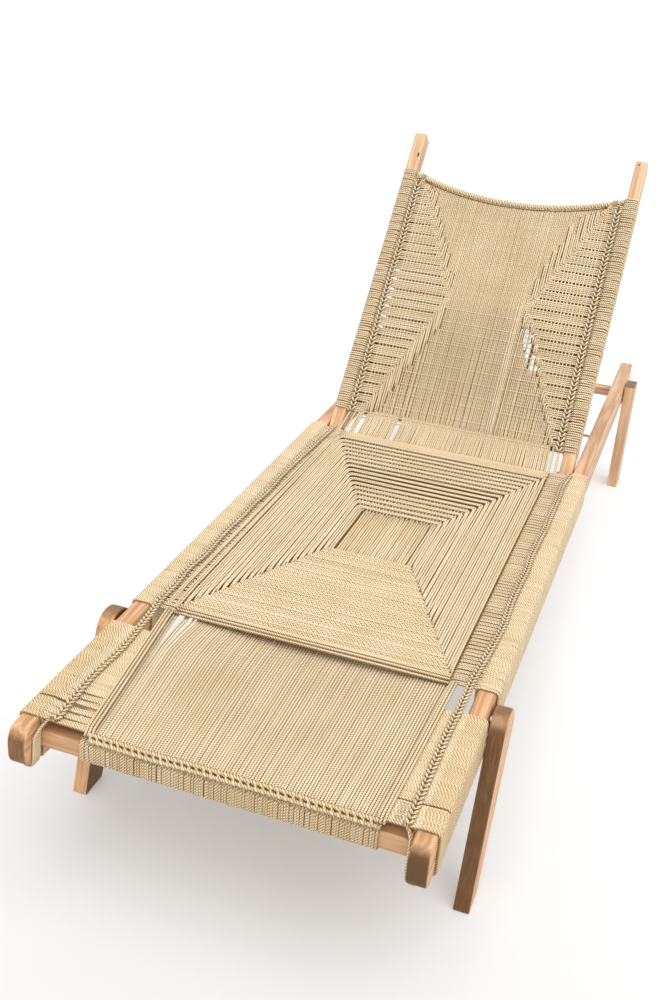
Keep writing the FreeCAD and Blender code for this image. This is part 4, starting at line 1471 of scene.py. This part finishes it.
class CHAISE_OT_back_under(Operator):
    """Hang the rear layer of the back, which runs down behind the weave from the top rope, with its front
    side painted in shade
    """

    bl_idname = "chaise.back_under"
    bl_label = "Back rear layer"

    # The strip beside the left chain where the rear layer is missing: its width, and its two ends
    open_width = 0.024
    open_ends = (0.25, 0.40)
    # Pitch of the cords, in cords
    pitch = 0.96

    def execute(self, context):
        settings = context.scene.chaise_cord
        cord = settings.thickness
        dice = np.random.default_rng(27)
        _, rope_height, _ = back_outline()
        low, high = back_corners("back_centre_field")
        edge = back_corners("left_back_side_field")[0][0]
        _, out = back_axes()
        cords = Cords(dice, from_back, out, sides=5)
        for i, x in enumerate(np.arange(edge + cord / 2, -edge, self.pitch * cord)):
            heights = np.linspace(low[1], rope_height(x), 80)
            missing = in_ladder(x, heights) & (i % 3 > 0)
            if x < edge + self.open_width:
                missing |= (heights > self.open_ends[0]) & (heights < self.open_ends[1])
            for run in runs(~missing):
                ends = np.linspace(*heights[run[[0, -1]]], 6)
                line = trace(x + wander(len(ends), FIRM, dice), ends, low[2] + 0.35 * cord)
                cords.lay(line, cord / 2)
        # A thin cord just below the top rope, in the rear layer's finish, shows as a line of painted shadow
        # under the rope
        across = np.linspace(edge + self.open_width, -edge - self.open_width, 40)
        line = trace(across, rope_height(across) - 2.1 * cord, high[2] + 0.1 * cord)
        cords.lay(line, 0.2 * cord)
        cords.piece("back_under_cords", "backrest", finish=cord_finish("back_under_shaded_cord", tuple(out)))
        return {"FINISHED"}


class CHAISE_OT_top_rope(Operator):
    """Twist the rope along the top of the back and tie its ends"""

    bl_idname = "chaise.top_rope"
    bl_label = "Top rope"

    # The rope's strands, their thickness in cords, and the length in which they go round once
    strands = 3
    stout = 1.45
    lay = 0.022
    knot_turns = 3
    knot_inset = 0.014

    def execute(self, context):
        cord = context.scene.chaise_cord.thickness
        dice = np.random.default_rng(23)
        _, rope_height, _ = back_outline()
        low, high = back_corners("top_rope")
        along, out = back_axes()
        middle = (low[2] + high[2]) / 2
        x = np.linspace(low[0], high[0], 60)
        line = from_back(trace(x, rope_height(x), middle))
        cords = Cords(dice, facing=out)
        twine(cords, line, self.stout * cord, self.lay, self.strands, along)
        turn = np.linspace(0, TAU, 12, endpoint=False)
        reach = (high[2] - low[2]) / 2 + 0.25 * cord
        for sign in SIDES.values():
            for i in range(self.knot_turns):
                knot = sign * (high[0] - self.knot_inset - 0.95 * cord * i)
                loop = trace(knot + 0.3 * cord * np.sin(turn), rope_height(knot) + reach * np.cos(turn),
                             middle + reach * np.sin(turn))
                cords.lay(from_back(loop), 0.45 * cord, facing=ACROSS, closed=True)
        cords.piece("top_rope_twist", "backrest", ["top_rope"])
        return {"FINISHED"}


class CHAISE_OT_back_fan(Operator):
    """Let the back's lengthwise cords run on into the seat's back edge"""

    bl_idname = "chaise.back_fan"
    bl_label = "Back fan"

    # How much wider the fan is at the seat than at the back
    spread = 0.03
    # Length in which the fan keeps the slope of the back
    straight = 0.018
    rise = 0.0008
    # Distance from cord to cord beside the woven part
    loose_step = 0.012
    # How far the cords run in under the weave of the back and under the seat's back edge
    overlap = 0.010
    seat_overlap = 0.012
    tone = -1.0
    # Openings between the fan's cords: the place across the back and the width of each
    openings = ((-0.195, 0.007), (-0.118, 0.007))
    # Places of the cords woven across the fan, at shares of its height
    rows = np.linspace(0.60, 0.95, 4)

    def execute(self, context):
        settings = context.scene.chaise_cord
        cord = settings.field_thickness
        dice = np.random.default_rng(24)
        low, high = back_corners("back_centre_field")
        edge_high = corners("seat_back_rope")[1]
        root = np.array((0.0, edge_high[1] - self.seat_overlap, edge_high[2] - 1.6 * cord))
        tip = from_back(np.array((0.0, low[1] + self.overlap, high[2] - cord)))
        out = np.cross(ACROSS, tip - root) / np.linalg.norm(tip - root)
        share = np.concatenate(((0, 0.14), self.rows, (1,)))
        bend = tip - self.straight * back_axes()[0]
        near, far = (1 - share)[:, None], share[:, None]
        route = root * near ** 2 + bend * 2 * near * far + tip * far ** 2
        widen = 1 + self.spread * (1 - share)
        warps = back_warps()
        edge = back_corners("right_back_side_field")[1][0]
        loose = np.arange(warps[-1] + 2 * cord, edge, self.loose_step)
        parted = np.any([np.abs(warps - at) < width / 2 for at, width in self.openings], axis=0)
        warps = warps[~parted]
        cords = Cords(dice, facing=out)
        for j, x in enumerate(np.concatenate((warps, loose, -loose))):
            woven = np.isin(share, self.rows) & (abs(x) <= warps[-1])
            weave = np.where(np.arange(len(share)) % 2 == j % 2, self.rise, -self.rise) * woven
            line = route + weave[:, None] * out
            line[:, 0] = x * widen + wander(len(share), SLACK, dice) * (1 - share)
            cords.lay(line, cord / 2, self.tone)
        # A second layer in painted shade shows in the gaps between the fan's cords
        for x in warps[1:][np.diff(warps) < 1.5 * settings.weave_step] - settings.weave_step / 2:
            line = route - 0.75 * cord * out
            line[:, 0] = x * widen
            cords.add(line, 0.47 * cord, SHADED_TONE)
        for i in np.flatnonzero(np.isin(share, self.rows)):
            weave = np.where(np.arange(len(warps)) % 2 == i % 2, -self.rise, self.rise)
            line = route[i] + weave[:, None] * out
            line[:, 0] = warps * widen[i]
            cords.lay(line, 0.38 * cord)
        piece = cords.piece("back_fan_cords", None)
        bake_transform(piece)
        return {"FINISHED"}


class CHAISE_OT_stage(Operator):
    """Set the floor, the soft light and the camera"""

    bl_idname = "chaise.stage"
    bl_label = "Stage"

    key_turn = (math.radians(12), math.radians(14), 0.0)
    key_spread = math.radians(65)
    key_at = (0.5, 0, 4.0)
    floor_radius = 90.0
    # Tone of the floor in its clouds, and its painted shade towards the front, as a share of its tone under
    # the object
    cloud_tone = 0.985
    front_shade = 0.66
    # White of the floor's glow, which is painted light, and of the sky
    glow_white = (1.0, 0.995, 0.995, 1.0)
    sky_white = (1.0, 0.995, 0.99, 1.0)
    sensor_height = 36.0

    def execute(self, context):
        stage = context.scene.chaise_stage
        self.lay_floor(context, stage)
        self.light(context, stage)
        self.aim(context, stage)
        return {"FINISHED"}

    def lay_floor(self, context, stage):
        """A wide pale floor with faint clouds of tone, painted shade towards the front and a glow of painted
        light.
        """
        bpy.ops.object.select_all(action="DESELECT")
        bpy.ops.mesh.primitive_circle_add(
            vertices=96, radius=self.floor_radius, fill_type="NGON", location=(0, 0, cad_low[2]))
        floor = context.active_object
        floor.name = "floor"
        bpy.ops.object.transform_apply(location=True)
        finish, tree, shader = new_finish("floor_paint", 0.6, 0.2)
        # Painted light: the floor glows
        shader.inputs["Emission Color"].default_value = self.glow_white
        shader.inputs["Emission Strength"].default_value = stage.glow
        place = add_node(tree, "ShaderNodeTexCoord").outputs["Object"]
        faint = tuple(self.cloud_tone * part for part in stage.floor)
        colour = add_mix(tree, add_noise(tree, place, scale=1.5), stage.floor, faint)
        # Painted shade: the floor darkens towards the front
        front_shade_share = add_range(tree, add_part(tree, place, 1), 0.0, 2 * cad_low[1])
        front_shade_colour = tuple(self.front_shade * part for part in stage.floor)
        tree.links.new(add_mix(tree, front_shade_share, colour, front_shade_colour), shader.inputs["Base Color"])
        floor.data.materials.append(finish)

    def light(self, context, stage):
        """Light from all round and one wide soft light from above."""
        world = bpy.data.worlds.new("studio")
        context.scene.world = world
        world.use_nodes = True
        sky = world.node_tree.nodes["Background"]
        sky.inputs["Color"].default_value = self.sky_white
        sky.inputs["Strength"].default_value = stage.sky
        bpy.ops.object.light_add(type="SUN", location=self.key_at, rotation=self.key_turn)
        key = context.active_object.data
        key.energy = stage.key
        key.angle = self.key_spread
        context.scene.view_settings.view_transform = "Standard"

    def aim(self, context, stage):
        """The camera, from its yaw, pitch and roll."""
        yaw, pitch, roll = stage.yaw, stage.pitch, stage.roll
        ahead = np.array((-math.sin(yaw) * math.cos(pitch), math.cos(yaw) * math.cos(pitch), math.sin(pitch)))
        level = np.array((math.cos(yaw), math.sin(yaw), 0))
        upright = np.cross(level, ahead)
        right = level * math.cos(roll) + upright * math.sin(roll)
        up = -level * math.sin(roll) + upright * math.cos(roll)
        turn = Matrix(np.stack((right, up, -ahead), axis=1).tolist()).to_euler()
        bpy.ops.object.camera_add(location=stage.camera_at, rotation=turn)
        camera = context.active_object
        camera.data.sensor_fit = "VERTICAL"
        camera.data.sensor_height = self.sensor_height
        camera.data.lens = stage.lens
        context.scene.camera = camera


PIECES = (CHAISE_OT_woodwork, CHAISE_OT_steelwork, CHAISE_OT_rail_wraps, CHAISE_OT_upright_wraps,
          CHAISE_OT_bands, CHAISE_OT_chains, CHAISE_OT_front_chain, CHAISE_OT_lashings, CHAISE_OT_foot_panel,
          CHAISE_OT_seat_surround, CHAISE_OT_seat_under, CHAISE_OT_seat_front, CHAISE_OT_seat_centre,
          CHAISE_OT_seat_edges, CHAISE_OT_back_centre, CHAISE_OT_back_sides, CHAISE_OT_back_under,
          CHAISE_OT_top_rope, CHAISE_OT_back_fan, CHAISE_OT_stage)
SETTINGS = {"chaise_cord": CordSettings, "chaise_wood": WoodSettings, "chaise_stage": StageSettings}


class CHAISE_PT_panel(Panel):
    """Lists the chaise's pieces and settings"""

    bl_idname = "CHAISE_PT_panel"
    bl_label = "Woven chaise longue"
    bl_space_type = "VIEW_3D"
    bl_region_type = "UI"
    bl_category = "Chaise"

    def draw(self, context):
        for name, group in SETTINGS.items():
            box = self.layout.box()
            for prop in group.__annotations__:
                box.prop(getattr(context.scene, name), prop)
        for piece in PIECES:
            self.layout.operator(piece.bl_idname)


def register():
    """Registers the settings, the operators and the panel."""
    for name, group in SETTINGS.items():
        bpy.utils.register_class(group)
        setattr(bpy.types.Scene, name, PointerProperty(type=group))
    for piece in (*PIECES, CHAISE_PT_panel):
        bpy.utils.register_class(piece)


def unregister():
    """Takes back what register did."""
    for piece in (CHAISE_PT_panel, *reversed(PIECES)):
        bpy.utils.unregister_class(piece)
    for name, group in SETTINGS.items():
        delattr(bpy.types.Scene, name)
        bpy.utils.unregister_class(group)


def main():
    """Builds every piece in order."""
    register()
    for piece in PIECES:
        group, name = piece.bl_idname.split(".")
        getattr(getattr(bpy.ops, group), name)()


if __name__ == "__main__":
    main()
